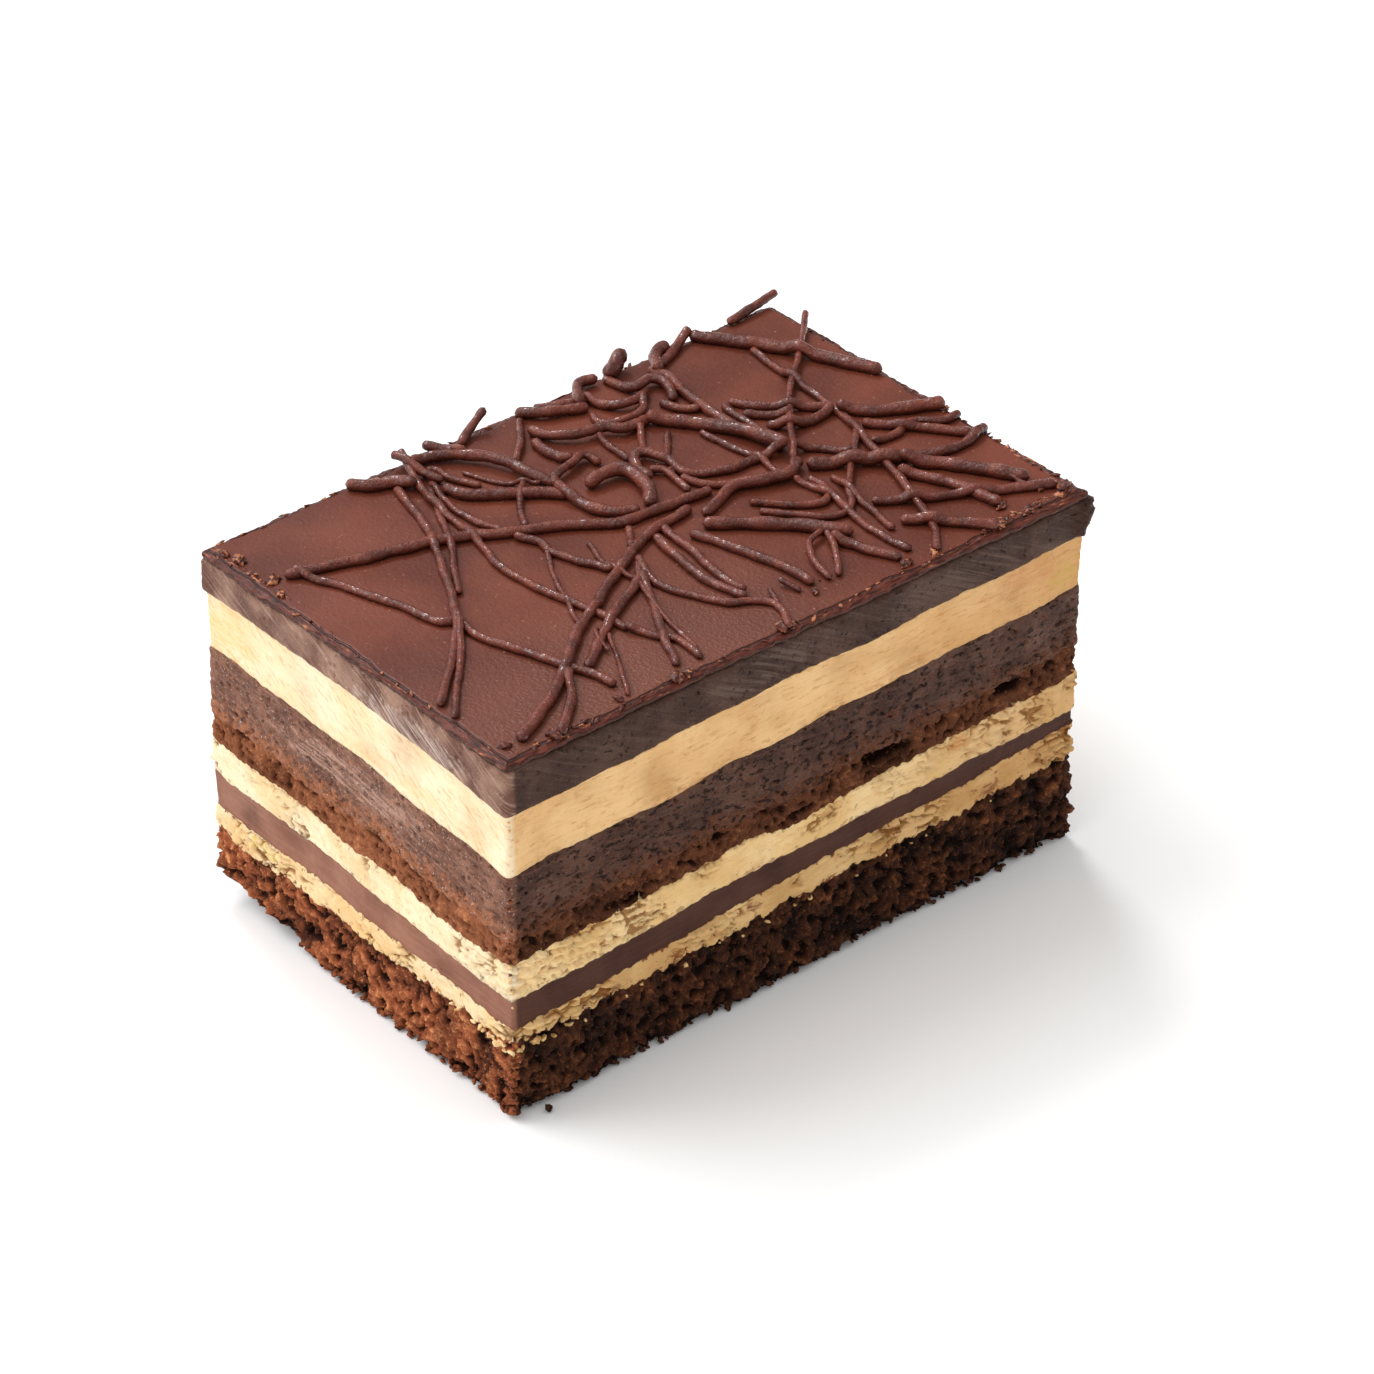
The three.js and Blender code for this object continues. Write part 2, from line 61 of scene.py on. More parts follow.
lens = bpy.data.cameras.new("photo_camera")
lens.lens = LENS
lens.sensor_width = SENSOR
lens.clip_start, lens.clip_end = CLIP
camera = bpy.data.objects.new("photo_camera", lens)
turned = Matrix((right, up, back)).transposed().to_4x4()
camera.matrix_world = Matrix.Translation(eye * MM) @ turned
bpy.context.scene.collection.objects.link(camera)
bpy.context.scene.camera = camera


# A white studio table under soft light. The room is bright behind on the left and dim in front, and a dark
# panel stands behind, where the flat glaze would mirror it. A broad soft lamp throws the slice's shadow
# forwards, and a small one puts glints on the drizzle.
BRIGHT_SIDE = Vector((-0.48, 0.46, 0.75)).normalized()
ROOM_LIGHT = (0.54, 1.30)  # its dimmest and brightest part
ROOM_FADE = (-0.1, 1.0)  # cosines of the angle from the bright side where those two are
PANEL_SIDE = Vector((0.53, 0.64, 0.56)).normalized()
PANEL_EDGE = (0.80, 0.96)  # cosines of its soft edge's outer and inner angle
PANEL_DARK = 0.3  # share of the light that it leaves
SOFT_LAMP = {"from": (-0.40, 0.52, 0.76), "strength": 1.2, "spread": 36}
SMALL_LAMP = {"from": (0.21, 0.64, 0.74), "strength": 0.95, "spread": 16}
CREAM_DEPTH = 0.8  # how far light spreads inside a soft finish, in mm
# The left end's colours are painted lighter, as lit, and the front's darker, as painted shade.
LEFT_FADE = (-38.8, -39.5)  # x where the front's colours end and the left end's begin


class Socket:
    """A node's output, ready for use in an expression."""

    def __init__(self, recipe, output):
        self.recipe = recipe
        self.output = output

    def math(self, operation, first, second=0.0):
        return self.recipe.node("ShaderNodeMath", {"operation": operation}, {0: first, 1: second})

    def __add__(self, other):
        return self.math("ADD", self, other)

    def __radd__(self, other):
        return self.math("ADD", other, self)

    def __sub__(self, other):
        return self.math("SUBTRACT", self, other)

    def __rsub__(self, other):
        return self.math("SUBTRACT", other, self)

    def __mul__(self, other):
        return self.math("MULTIPLY", self, other)

    def __rmul__(self, other):
        return self.math("MULTIPLY", other, self)

    def __abs__(self):
        return self.math("ABSOLUTE", self)


class Recipe:
    """The nodes of a material or of the room."""

    def __init__(self, tree):
        self.tree = tree

    def feed(self, socket, value):
        if isinstance(value, Socket):
            self.tree.links.new(value.output, socket)
        elif socket.type == "RGBA" and len(value) == 3:
            socket.default_value = (*value, 1)
        else:
            socket.default_value = value

    def node(self, kind, settings=None, inputs=None, output=0):
        node = self.tree.nodes.new(kind)
        for key, value in (settings or {}).items():
            setattr(node, key, value)
        for key, value in (inputs or {}).items():
            self.feed(node.inputs[key], value)
        return Socket(self, node.outputs[output])

    def span(self, value, low, high, start=0.0, end=1.0):
        inputs = {"Value": value, "From Min": low, "From Max": high, "To Min": start, "To Max": end}
        return self.node("ShaderNodeMapRange", {"interpolation_type": "SMOOTHSTEP"}, inputs)

    def blend(self, amount, first, second):
        settings = {"data_type": "RGBA", "clamp_factor": True}
        return self.node("ShaderNodeMix", settings, {0: amount, 6: first, 7: second}, output=2)

    def vectors(self, operation, first, second, output="Vector"):
        return self.node("ShaderNodeVectorMath", {"operation": operation}, {0: first, 1: second}, output)

    def facing(self, direction, way):
        return self.vectors("DOT_PRODUCT", direction, way, "Value")


bpy.context.scene.view_settings.view_transform = "Standard"
world = bpy.data.worlds.new("pale_room")
world.use_nodes = True
room = Recipe(world.node_tree)
toward = room.node("ShaderNodeTexCoord", output="Generated")
glow = room.span(room.facing(toward, BRIGHT_SIDE), *ROOM_FADE, *ROOM_LIGHT)
glow = glow * room.span(room.facing(toward, PANEL_SIDE), *PANEL_EDGE, 1.0, PANEL_DARK)
room.feed(world.node_tree.nodes["Background"].inputs["Color"], (1, 1, 1))
room.feed(world.node_tree.nodes["Background"].inputs["Strength"], glow)
bpy.context.scene.world = world


def lamp(name, setup):
    light = bpy.data.lights.new(name, "SUN")
    light.energy = setup["strength"]
    light.angle = math.radians(setup["spread"])
    holder = bpy.data.objects.new(name, light)
    holder.rotation_euler = Vector(setup["from"]).to_track_quat("Z", "Y").to_euler()
    bpy.context.scene.collection.objects.link(holder)


lamp("soft_lamp", SOFT_LAMP)
lamp("small_lamp", SMALL_LAMP)


class Finish(Recipe):
    """One material. Its patterns are measured in millimetres on the cake."""

    def __init__(self, name, gloss=0.5, soft=0.0):
        self.material = bpy.data.materials.new(name)
        self.material.use_nodes = True
        super().__init__(self.material.node_tree)
        self.sockets = self.tree.nodes["Principled BSDF"].inputs
        self.sockets["Specular IOR Level"].default_value = gloss
        self.sockets["Subsurface Weight"].default_value = soft
        self.sockets["Subsurface Radius"].default_value = (1.0, 0.6, 0.3)
        self.sockets["Subsurface Scale"].default_value = CREAM_DEPTH * MM
        place = self.node("ShaderNodeTexCoord", output="Object")
        self.place = self.node("ShaderNodeVectorMath", {"operation": "SCALE"}, {0: place, "Scale": 1 / MM})
        self.x, self.y, self.z = (
            self.node("ShaderNodeSeparateXYZ", inputs={0: self.place}, output=axis) for axis in "XYZ"
        )

    @property
    def lit_left_end(self):
        """1 on the slice's short left end, whose colours are painted as lit, and 0 on its front."""
        return self.span(self.x, *LEFT_FADE)

    def by_lit_side(self, front, left):
        """Painted light and shade: each colour has a lighter copy for the lit left end and a darker, shaded
        copy for the front.
        """
        lit_left_end = self.lit_left_end
        return [self.blend(lit_left_end, *pair) for pair in zip(front, left)]

    def attribute(self, name):
        return self.node("ShaderNodeAttribute", {"attribute_name": name}, output="Fac")

    def vector(self, x, y, z):
        return self.node("ShaderNodeCombineXYZ", inputs={0: x, 1: y, 2: z})

    def noise(self, size, detail=2.0, rough=0.5, place=None, shift=0.0):
        moved = {"Vector": place or self.place, "Location": (shift, shift, shift)}
        moved = self.node("ShaderNodeMapping", inputs=moved)
        inputs = {"Vector": moved, "Scale": 1 / size, "Detail": detail, "Roughness": rough}
        return self.node("ShaderNodeTexNoise", inputs=inputs)

    def spot(self, middle, reach, ragged=0.0):
        """1 near a place and 0 past its reach along each axis, with an uneven edge."""
        way = self.vectors("DIVIDE", self.vectors("SUBTRACT", self.place, middle), reach)
        away = self.node("ShaderNodeVectorMath", {"operation": "LENGTH"}, {0: way}, "Value")
        if ragged:
            away = away + ragged * (self.noise(0.9, 4.0, 0.65, shift=middle[0]) - 0.5)
        return self.span(away, 1.0, 0.55)

    def surface(self, colour, roughness, height, depth):
        relief = {"Height": height, "Distance": depth * MM}
        self.feed(self.sockets["Base Color"], colour)
        self.feed(self.sockets["Roughness"], roughness)
        self.feed(self.sockets["Normal"], self.node("ShaderNodeBump", inputs=relief, output="Normal"))


def shade(red, green, blue):
    """A colour as seen on a screen, 0 to 255, made linear."""
    parts = []
    for part in (red, green, blue):
        part /= 255
        parts.append(part / 12.92 if part <= 0.04045 else ((part + 0.055) / 1.055) ** 2.4)
    return tuple(parts)


def linked(name, bm, finish):
    """Turns a bmesh into an object with its finish."""
    mesh = bpy.data.meshes.new(name)
    bm.to_mesh(mesh)
    bm.free()
    for face in mesh.polygons:
        face.use_smooth = True
    mesh.transform(Matrix.Scale(MM, 4))
    mesh.materials.append(finish.material)
    piece = bpy.data.objects.new(name, mesh)
    bpy.context.scene.collection.objects.link(piece)
    return piece


# The table top is smooth, matt and white, so that only the soft shade of the slice shows on it. It is
# a plain flat sheet that reaches past the picture on all sides.
TABLE_HALF = 3.0  # half its width, in metres
TABLE_WHITE = (0.97, 0.97, 0.97)
table_finish = Finish("white_table", gloss=0.1)
table_finish.surface(TABLE_WHITE, 0.9, table_finish.noise(40), 0.02)
bm = bmesh.new()
bmesh.ops.create_grid(bm, x_segments=8, y_segments=8, size=TABLE_HALF / MM)
table = linked("white_table", bm, table_finish)


# The slice as a whole was cut from a sheet cake with a long knife, so its four sides are upright faces
# with slow waves, and each layer's border runs along them as an uneven line. Its layers share these
# shapes: the outline seen from above, the heights of the borders, and the waves of the knife.
LENGTH = 80.0
DEPTH = 52.6
CORNER = 0.45  # radius of its upright edges
FRONT, BACK = -DEPTH / 2, DEPTH / 2
LEFT, RIGHT = -LENGTH / 2, LENGTH / 2
GLAZE = 1.05  # thickness of the glaze
CUT_WAVE = 0.35  # how far the knife swung out and in
CUT_WAVE_LENGTH = 34.0
WAVES = (((1.9, 0.3, 0.7), 0.6), ((-0.4, 1.7, -1.1), 2.1), ((0.9, 0.8, 1.6), 4.4), ((-1.3, 1.1, 0.5), 5.3))
COLUMNS = 1320  # places round the outline, about 0.2 mm apart
ROW = 0.2  # height of one row of faces
EDGE_TUCK = 0.35  # how near to its borders a layer's relief starts to fade

# Each border has the CAD model's heights at three corners and its two bows, then how uneven the real
# line is: the height of its slow swings, of its small nicks, and the nicks' size.
BORDERS = {
    "glaze_top": ((45.6, 46.2, 45.5), (0.0, 0.0), (0.0, 0.0, 1.0)),
    "under_glaze": ((45.6 - GLAZE, 46.2 - GLAZE, 45.5 - GLAZE), (0.0, 0.0), (0.10, 0.12, 0.8)),
    "under_ganache_top": ((38.8, 40.6, 40.3), (0.0, 0.8), (0.30, 0.14, 1.0)),
    "under_cream_top": ((31.4, 33.8, 33.3), (0.1, 0.6), (0.45, 0.16, 1.3)),
    "under_ganache_middle": ((23.3, 26.1, 25.0), (0.0, 0.2), (0.70, 0.45, 1.4)),
    "under_sponge_middle": ((19.9, 22.5, 21.6), (0.0, -0.2), (0.55, 0.40, 1.0)),
    "under_cream_middle": ((15.3, 17.7, 17.2), (0.6, 0.3), (0.35, 0.22, 1.2)),
    "under_ganache_thin": ((11.5, 15.8, 12.4), (0.3, 0.6), (0.30, 0.30, 0.9)),
    "under_cream_low": ((9.7, 11.5, 9.0), (0.0, 0.1), (0.75, 0.70, 1.1)),
}


def waves(place, length):
    """Crossing waves of about the given length, between -1 and 1."""
    total = 0.0
    for direction, start in WAVES:
        total += math.sin(2 * math.pi / length * place.dot(Vector(direction)) + start)
    return total / len(WAVES)


def knife(place):
    """How far out the knife's slow waves have left the cut side at a place."""
    return CUT_WAVE * waves(place, CUT_WAVE_LENGTH)


def tilted(border, x, y):
    """Height of a border where it is still a plain, slightly bowed plane."""
    (near, far_right, far_left), (front_bow, left_bow), _ = BORDERS[border]
    u = x / LENGTH + 0.5
    v = y / DEPTH + 0.5
    plane = near + (far_right - near) * u + (far_left - near) * v
    return plane + front_bow * math.sin(math.pi * u) * (1 - v) + left_bow * math.sin(math.pi * v) * (1 - u)


def border_height(border, x, y):
    """Height of a border with the swings and nicks of the real line."""
    swing, nick, nick_size = BORDERS[border][2]
    seed = 7.3 * list(BORDERS).index(border)
    slow = noise.noise(Vector((x / 7.0, y / 7.0, seed)))
    quick = noise.fractal(Vector((x / nick_size, y / nick_size, seed + 50)), 0.9, 2.1, 3)
    return tilted(border, x, y) + swing * slow + nick * quick


def outline(share):
    """A place on the slice's outline, anticlockwise from the back right corner, and where it faces."""
    sides = ((0, 1, LENGTH), (-1, 0, DEPTH), (0, -1, LENGTH), (1, 0, DEPTH))
    bend = math.pi / 2 * CORNER
    around = share % 1 * sum(run - 2 * CORNER + bend for _, _, run in sides)
    for face_x, face_y, run in sides:
        half_out = (DEPTH if face_y else LENGTH) / 2
        straight = run - 2 * CORNER
        facing = Vector((face_x, face_y, 0))
        ahead = Vector((-face_y, face_x, 0))
        if around <= straight:
            return facing * half_out + ahead * (around - straight / 2), facing
        around -= straight
        if around <= bend:
            angle = around / CORNER
            out = facing * math.cos(angle) + ahead * math.sin(angle)
            centre = facing * (half_out - CORNER) + ahead * straight / 2
            return centre + out * CORNER, out
        around -= bend
    return outline(0)


def ringed_can(bm, segments, rows):
    """Adds a closed can, 1 in radius and height, whose wall has the given columns and rows of faces."""
    made = bmesh.ops.create_cone(bm, cap_ends=True, segments=segments, radius1=1, radius2=1, depth=1)
    edges = {edge for vert in made["verts"] for edge in vert.link_edges}
    upright = [edge for edge in edges if abs(edge.verts[0].co.z - edge.verts[1].co.z) > 0.5]
    bmesh.ops.subdivide_edges(bm, edges=upright, cuts=rows - 1, use_grid_fill=True)


def mesh_with(*layers):
    """A new bmesh whose vertices carry the named numbers."""
    bm = bmesh.new()
    for layer in layers:
        bm.verts.layers.float.new(layer)
    return bm


def fan_ends(bm):
    """Fans each large flat face from a middle point."""
    bmesh.ops.poke(bm, faces=[face for face in bm.faces if len(face.verts) > 4])


def on_outline(vert):
    """The place on the slice's outline in the direction of a can's vertex, and where it faces."""
    return outline(math.atan2(vert.co.y, vert.co.x) / (2 * math.pi))


def cake_piece(name, bm, finish, node):
    """Turns a bmesh into a piece of the cake that replaces a node of the CAD model."""
    piece = linked(name, bm, finish)
    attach(piece, "root")
    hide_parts(node)


def cut_layer(name, upper, lower, finish, relief):
    """A layer between two borders. relief gives how far its cut side stands out at a place."""
    height = tilted(upper, 0, 0) - tilted(lower, 0, 0)
    rows = max(8, round(height / ROW))
    bm = mesh_with("rise", "out")
    rise_layer, out_layer = bm.verts.layers.float.values()
    ringed_can(bm, COLUMNS, rows)
    fan_ends(bm)
    for vert in bm.verts:
        rise = vert.co.z + 0.5
        if vert.co.xy.length < 0.5:
            vert.co = (0, 0, tilted(upper if rise > 0.5 else lower, 0, 0))
            continue
        place, facing = on_outline(vert)
        top = border_height(upper, place.x, place.y)
        base = border_height(lower, place.x, place.y)
        place.z = base + (top - base) * rise
        from_edge = min(rise, 1 - rise) * (top - base)
        out = relief(place, rise) * min(1.0, from_edge / EDGE_TUCK)
        vert[rise_layer] = rise
        vert[out_layer] = out
        vert.co = place + facing * (knife(place) + out)
    cake_piece(name, bm, finish, name)


def rough(place, size, octaves=3, seed=0.0):
    return noise.fractal(place / size + Vector((seed, seed, seed)), 0.8, 2.1, octaves)


def smooth_step(value, low, high):
    share = min(1.0, max(0.0, (value - low) / (high - low)))
    return share * share * (3 - 2 * share)


# The bottom sponge is a soaked chocolate sponge of coarse, open crumb. The knife tore rather than cut
# it, so it is all lumps and pits, and it has lifted off the table at the left back corner.
LIFT = 3.0  # height of the lifted corner
LIFT_REACH = 19.0  # how far from that corner it touches the table again
FOOT_INSET = 7.0  # how far in from its sides the flat spot that it rests on starts
FOOT_ROUND = 0.5  # how far its torn foot draws in
FOOT_GAP = 0.25  # least height of its torn lower edge
UNDER_ROWS = 8
base_finish = Finish("soaked_sponge", gloss=0.16)


def crumb_relief(place, size, seed):
    """Clumps of crumb with creases between them, finer grains on them, and open pores."""
    turned = place + Vector((1, 1, 1)) * 0.5 * size * noise.noise(place / size + Vector((seed, 0, 0)))
    clump, middles = noise.voronoi(turned / size + Vector((seed, seed, seed)))
    grain, _ = noise.voronoi(turned / (0.4 * size) + Vector((seed, 3.0, seed)))
    pore = smooth_step(noise.noise(place / (0.9 * size) + Vector((seed + 9, 4.0, 2.0))), 0.10, 0.38)
    lumps = 0.55 * (0.5 - clump[0]) + 0.4 * (0.45 - grain[0]) + 0.5 * noise.noise(middles[0] * 5.1)
    lumps += 0.4 * rough(place, 0.5 * size, 3, seed + 2)
    return lumps + 0.45 * rough(place, 2.6 * size, 3, seed) - 1.2 * pore


def base_relief(place):
    return 0.36 * waves(place, 11.0) + 0.74 * crumb_relief(place, 1.15, 5.0) - 0.1


def corner_lift(x, y):
    away = math.hypot(x + LENGTH / 2, y - DEPTH / 2)
    return LIFT * max(0.0, 1 - away / LIFT_REACH)


def sponge_look(finish, front, left, pores):
    """Torn crumb with painted light: darker as painted shade in the pores, lighter as painted highlights on
    raised lumps and grains. front and left each have these colours, the left end's painted lit and the
    front's shaded.
    """
    out = finish.attribute("out")
    clumps = finish.noise(0.9, 4.0, 0.7)
    soaked = finish.span(finish.noise(6.0, 2.0, 0.5, shift=11.0), 0.50, 0.66)
    dark, middle, painted_highlight = finish.by_lit_side(front, left)
    # Painted shade in the pores, and painted highlights on the raised lumps and specks.
    colour = finish.blend(finish.span(out + 0.9 * (clumps - 0.5), *pores), dark, middle)
    lifted = finish.span(out, -0.2, 0.4) * finish.span(clumps, 0.46, 0.62)
    colour = finish.blend(lifted, colour, painted_highlight)
    colour = finish.blend(soaked * 0.5, colour, dark)
    grain = finish.noise(0.30, 3.0, 0.7)
    highlight_specks = finish.span(finish.noise(0.45, 2.0, 0.6, shift=5.0), 0.60, 0.70)
    colour = finish.blend(highlight_specks * 0.55, colour, painted_highlight)
    finish.surface(colour, finish.span(grain, 0.3, 0.7, 0.9, 0.55), grain + clumps * 0.8, 0.4)


sponge_look(
    base_finish,
    front=(shade(28, 13, 7), shade(76, 40, 21), shade(142, 84, 48)),
    left=(shade(66, 30, 16), shade(168, 92, 57), shade(240, 160, 104)),
    pores=(-0.7, 0.1),
)
wall_rows = round(tilted("under_cream_low", 0, 0) / ROW)
bm = mesh_with("out")
out_layer = bm.verts.layers.float["out"]
ringed_can(bm, COLUMNS, wall_rows + UNDER_ROWS)
fan_ends(bm)
for vert in bm.verts:
    row = (vert.co.z + 0.5) * (wall_rows + UNDER_ROWS)
    if vert.co.xy.length < 0.5:
        vert.co = (0, 0, tilted("under_cream_low", 0, 0) if row > 1 else 0)
        continue
    place, facing = on_outline(vert)
    low = corner_lift(place.x, place.y)
    low += 0.5 * max(0.0, rough(place, 2.4, 3, 31.0)) + FOOT_GAP
    if row < UNDER_ROWS - 0.5:
        share = row / UNDER_ROWS
        inner = Vector((place.x * (1 - 2 * FOOT_INSET / LENGTH), place.y * (1 - 2 * FOOT_INSET / DEPTH), 0))
        edge = place + facing * (knife(place) - FOOT_ROUND)
        edge.z = low * 0.75
        spot = inner.lerp(edge, share)
        out = base_relief(spot) * math.sin(math.pi * share)
        spot.z = max(0.0, spot.z - 0.5 * out * (1 if share > 0 else 0)) if row > 0.5 else 0.0
        vert[out_layer] = out
        vert.co = spot
        continue
    rise = (row - UNDER_ROWS) / wall_rows
    top = border_height("under_cream_low", place.x, place.y)
    place.z = low + (top - low) * rise
    under_top = (1 - rise) * (top - low)
    out = base_relief(place) * min(1.0, under_top / 0.4) - FOOT_ROUND * max(0.0, 1 - rise * 9)
    vert[out_layer] = out
    vert.co = place + facing * (knife(place) + out)
cake_piece("sponge_base", bm, base_finish, "sponge_base")


# The lowest coffee cream is a thin layer of butter cream that was spread onto the torn sponge, so its
# lower line is ragged and its cut side is broken into small lumps, stained by crumb here and there.
def cream_look(finish, front, left, stain, crack, fleck, marks):
    """Butter cream: front and left each have its pale and deep shade; the left end's are painted lighter,
    as lit, and the front's are darker as painted shade and also more orange.
    stain, crack and fleck are how strong the crumb's stains, the painted shade in its cracks and its
    browner flecks are. Each mark has its middle, its reach along each axis, its strength and its colour."""
    rise = finish.attribute("rise")
    out = finish.attribute("out")
    level = finish.vector(finish.x * 0.10, finish.y * 0.10, finish.z)
    grain = finish.noise(0.32, 4.0, 0.6, place=level)
    cloud = finish.noise(7.0, 3.0, 0.5, shift=3.0)
    pale, deep = finish.by_lit_side(front, left)
    colour = finish.blend(finish.span(cloud, 0.38, 0.66) * 0.8, pale, deep)
    colour = finish.blend(finish.span(grain, 0.45, 0.75) * 0.45, colour, deep)
    dragged = finish.vector(finish.x * 0.2, finish.y * 0.2, finish.z - finish.y * finish.lit_left_end * 0.6)
    flecks = finish.span(finish.noise(0.34, 3.0, 0.65, place=dragged), 0.54, 0.68)
    colour = finish.blend(flecks * fleck, colour, shade(196, 132, 72))
    browner = finish.span(finish.x, 2.0, 40.0) * finish.span(finish.y, -24.0, -25.5)
    colour = finish.blend(browner * 0.42, colour, shade(184, 122, 62))
    for middle, reach, amount, tint in marks:
        torn_edge = finish.span(flecks * 0.3 + grain, 0.40, 0.62, 0.35, 1.0)
        colour = finish.blend(finish.spot(middle, reach, 3.0) * torn_edge * amount, colour, tint)
    # Painted shade: darker where the cut side is recessed in its cracks.
    colour = finish.blend(finish.span(out, -0.05, -0.35) * crack, colour, shade(150, 98, 44))
    spots = finish.noise(0.8, 3.0, 0.6, shift=17.0)
    near_border = finish.span(rise, 0.30, 0.0) + finish.span(rise, 0.86, 1.0)
    stained = finish.span(spots + near_border * 0.12, 0.64, 0.73) * stain
    colour = finish.blend(stained, colour, shade(112, 58, 34))
    fine = finish.noise(0.22, 3.0, 0.6)
    finish.surface(colour, 0.5 + 0.3 * grain, grain + fine * 0.6, 0.10)


def torn_cream(place, amount):
    """The broken side of a cream layer: small lumps, and flat flakes where it has torn most."""
    flakes = Vector((place.x / 2.4, place.y / 2.4, place.z / 0.7 + place.x * 0.08))
    near, middles = noise.voronoi(flakes + Vector((0, 0, 0.5 * noise.noise(place / 1.3))))
    crack = smooth_step(near[1] - near[0], 0.24, 0.03)
    torn = smooth_step(noise.noise(place / 5.0 + Vector((21.0, 5.0, 8.0))), -0.05, 0.25)
    for middle, reach in TORN_PLACES:
        torn = max(torn, smooth_step(reach - (place - Vector(middle)).length, 0.0, 2.0))
    lumps = 0.16 * rough(place, 1.5, 4, 13.0) + 0.08 * rough(place, 0.45, 2, 6.0)
    flake = 0.7 * noise.noise(middles[0] * 6.3) - 0.45 * crack
    return amount * (lumps + torn * flake)


TORN_PLACES = (
    ((-36, FRONT, 17), 7.5), ((-27, FRONT, 18), 4.5), ((26.5, FRONT, 20), 5.0), ((34, FRONT, 20.5), 3.5),
    ((-36, FRONT, 9.5), 6.0), ((-12, FRONT, 10.0), 4.0), ((LEFT, 16, 11), 4.5), ((LEFT, -24, 9.0), 3.0),
)
CRUMB_BROWN = shade(122, 66, 38)
cream_low_finish = Finish("lowest_coffee_cream", gloss=0.1, soft=0.12)
cream_look(
    cream_low_finish,
    front=(shade(230, 192, 134), shade(202, 156, 98)),
    left=(shade(238, 214, 172), shade(230, 188, 128)),
    stain=0.9,
    crack=0.8,
    fleck=0.35,
    marks=(
        ((-17.6, FRONT, 10.4), (1.5, 3, 1.1), 0.9, CRUMB_BROWN),
        ((-12.5, FRONT, 9.6), (2.2, 3, 0.8), 0.9, CRUMB_BROWN),
        ((-27.0, FRONT, 10.6), (3.0, 3, 0.5), 0.8, CRUMB_BROWN),
        ((-6.8, FRONT, 12.4), (1.1, 3, 0.9), 0.9, CRUMB_BROWN),
        ((13.2, FRONT, 13.4), (2.6, 3, 0.9), 0.9, CRUMB_BROWN),
        ((26.6, FRONT, 13.0), (2.4, 3, 1.3), 0.85, CRUMB_BROWN),
        ((LEFT, -8.0, 8.2), (3, 9.0, 1.0), 0.75, shade(244, 176, 96)),
        ((LEFT, 16.8, 11.0), (3, 3.2, 1.2), 0.7, shade(214, 180, 76)),
    ),
)
cut_layer(
    "cream_low", "under_ganache_thin", "under_cream_low", cream_low_finish,
    lambda place, rise: 0.12 + 0.3 * waves(place, 10.0) + torn_cream(place, 1.1),
)


# The thin chocolate layer was poured over the lowest cream and set smooth, so the knife left it plain
# and matt, with only a faint drag along the cut.
def ganache_look(finish, front, left, streak, slant, marks=()):
    """Set ganache: front and left each have its dark and pale shade, in the knife's slanted streaks. The
    left end's are painted lighter, as lit and with painted sheen, the front's darker as painted shade, and
    the pale streaks are partly painted sheen.
    """
    out = finish.attribute("out")
    leaning = finish.z + (finish.x - finish.y) * slant
    dragged = finish.vector(finish.x * 0.05, finish.y * 0.05, leaning)
    lines = finish.noise(0.40, 5.0, 0.65, place=dragged)
    cloud = finish.noise(5.0, 3.0, 0.55, shift=5.0)
    dark, pale = finish.by_lit_side(front, left)
    streak = streak * (0.6 + 0.4 * finish.lit_left_end)
    colour = finish.blend(finish.span(cloud, 0.35, 0.70) * 0.6, dark, pale)
    colour = finish.blend(finish.span(lines, 0.50, 0.70) * streak, colour, pale)
    colour = finish.blend(finish.span(lines, 0.48, 0.28) * streak, colour, dark)
    for middle, reach, amount, tint in marks:
        spot = finish.spot(middle, reach, 1.6) * finish.span(lines, 0.40, 0.60, 0.08, 1.0)
        colour = finish.blend(spot * amount, colour, tint)
    # Painted shade: darker where the cut side is recessed.
    colour = finish.blend(finish.span(out, -0.1, -0.45) * 0.8, colour, shade(34, 17, 11))
    return colour, lines


def ganache_surface(finish, colour, lines, depth=0.14, highlight_specks=0.0, pits=None):
    """Its gloss and fine relief, with painted shade in the pits and painted glints as bright specks. Pits
    have how dark their painted shade is and the level of noise where they start.
    """
    fine = finish.noise(0.25, 3.0, 0.65)
    height = lines * 0.6 + fine * 0.8
    if pits:
        level = finish.vector(finish.x * 0.6, finish.y * 0.6, finish.z)
        shaded_holes = finish.span(finish.noise(0.6, 3.0, 0.65, place=level, shift=14.0), pits[1], pits[1] + 0.07)
        shaded_holes = shaded_holes * (1 - 0.65 * finish.lit_left_end)
        # Painted shade darkens the pits.
        colour = finish.blend(shaded_holes * pits[0], colour, shade(30, 15, 10))
        height = height - shaded_holes * 2.0
    if highlight_specks:
        # Painted glints: bright specks, lighter on the lit left end.
        bright = finish.span(finish.noise(0.32, 3.0, 0.7, shift=9.0), 0.60, 0.70) * highlight_specks
        lit = finish.blend(finish.lit_left_end, shade(128, 98, 84), shade(222, 200, 188))
        colour = finish.blend(bright, colour, lit)
    gloss = finish.span(lines * 0.5 + fine * 0.5, 0.36, 0.62, 0.62, 0.34)
    finish.surface(colour, gloss, height, depth)


ganache_thin_finish = Finish("thin_ganache", gloss=0.1)
colour, lines = ganache_look(
    ganache_thin_finish,
    front=(shade(74, 45, 35), shade(90, 59, 48)),
    left=(shade(134, 88, 70), shade(164, 116, 95)),
    streak=0.4,
    slant=0.0,
)
ganache_surface(ganache_thin_finish, colour, lines, depth=0.06)
cut_layer(
    "ganache_thin", "under_cream_middle", "under_ganache_thin", ganache_thin_finish,
    lambda place, rise: -0.12 + 0.15 * waves(place, 14.0) + 0.03 * rough(place, 1.2),
)


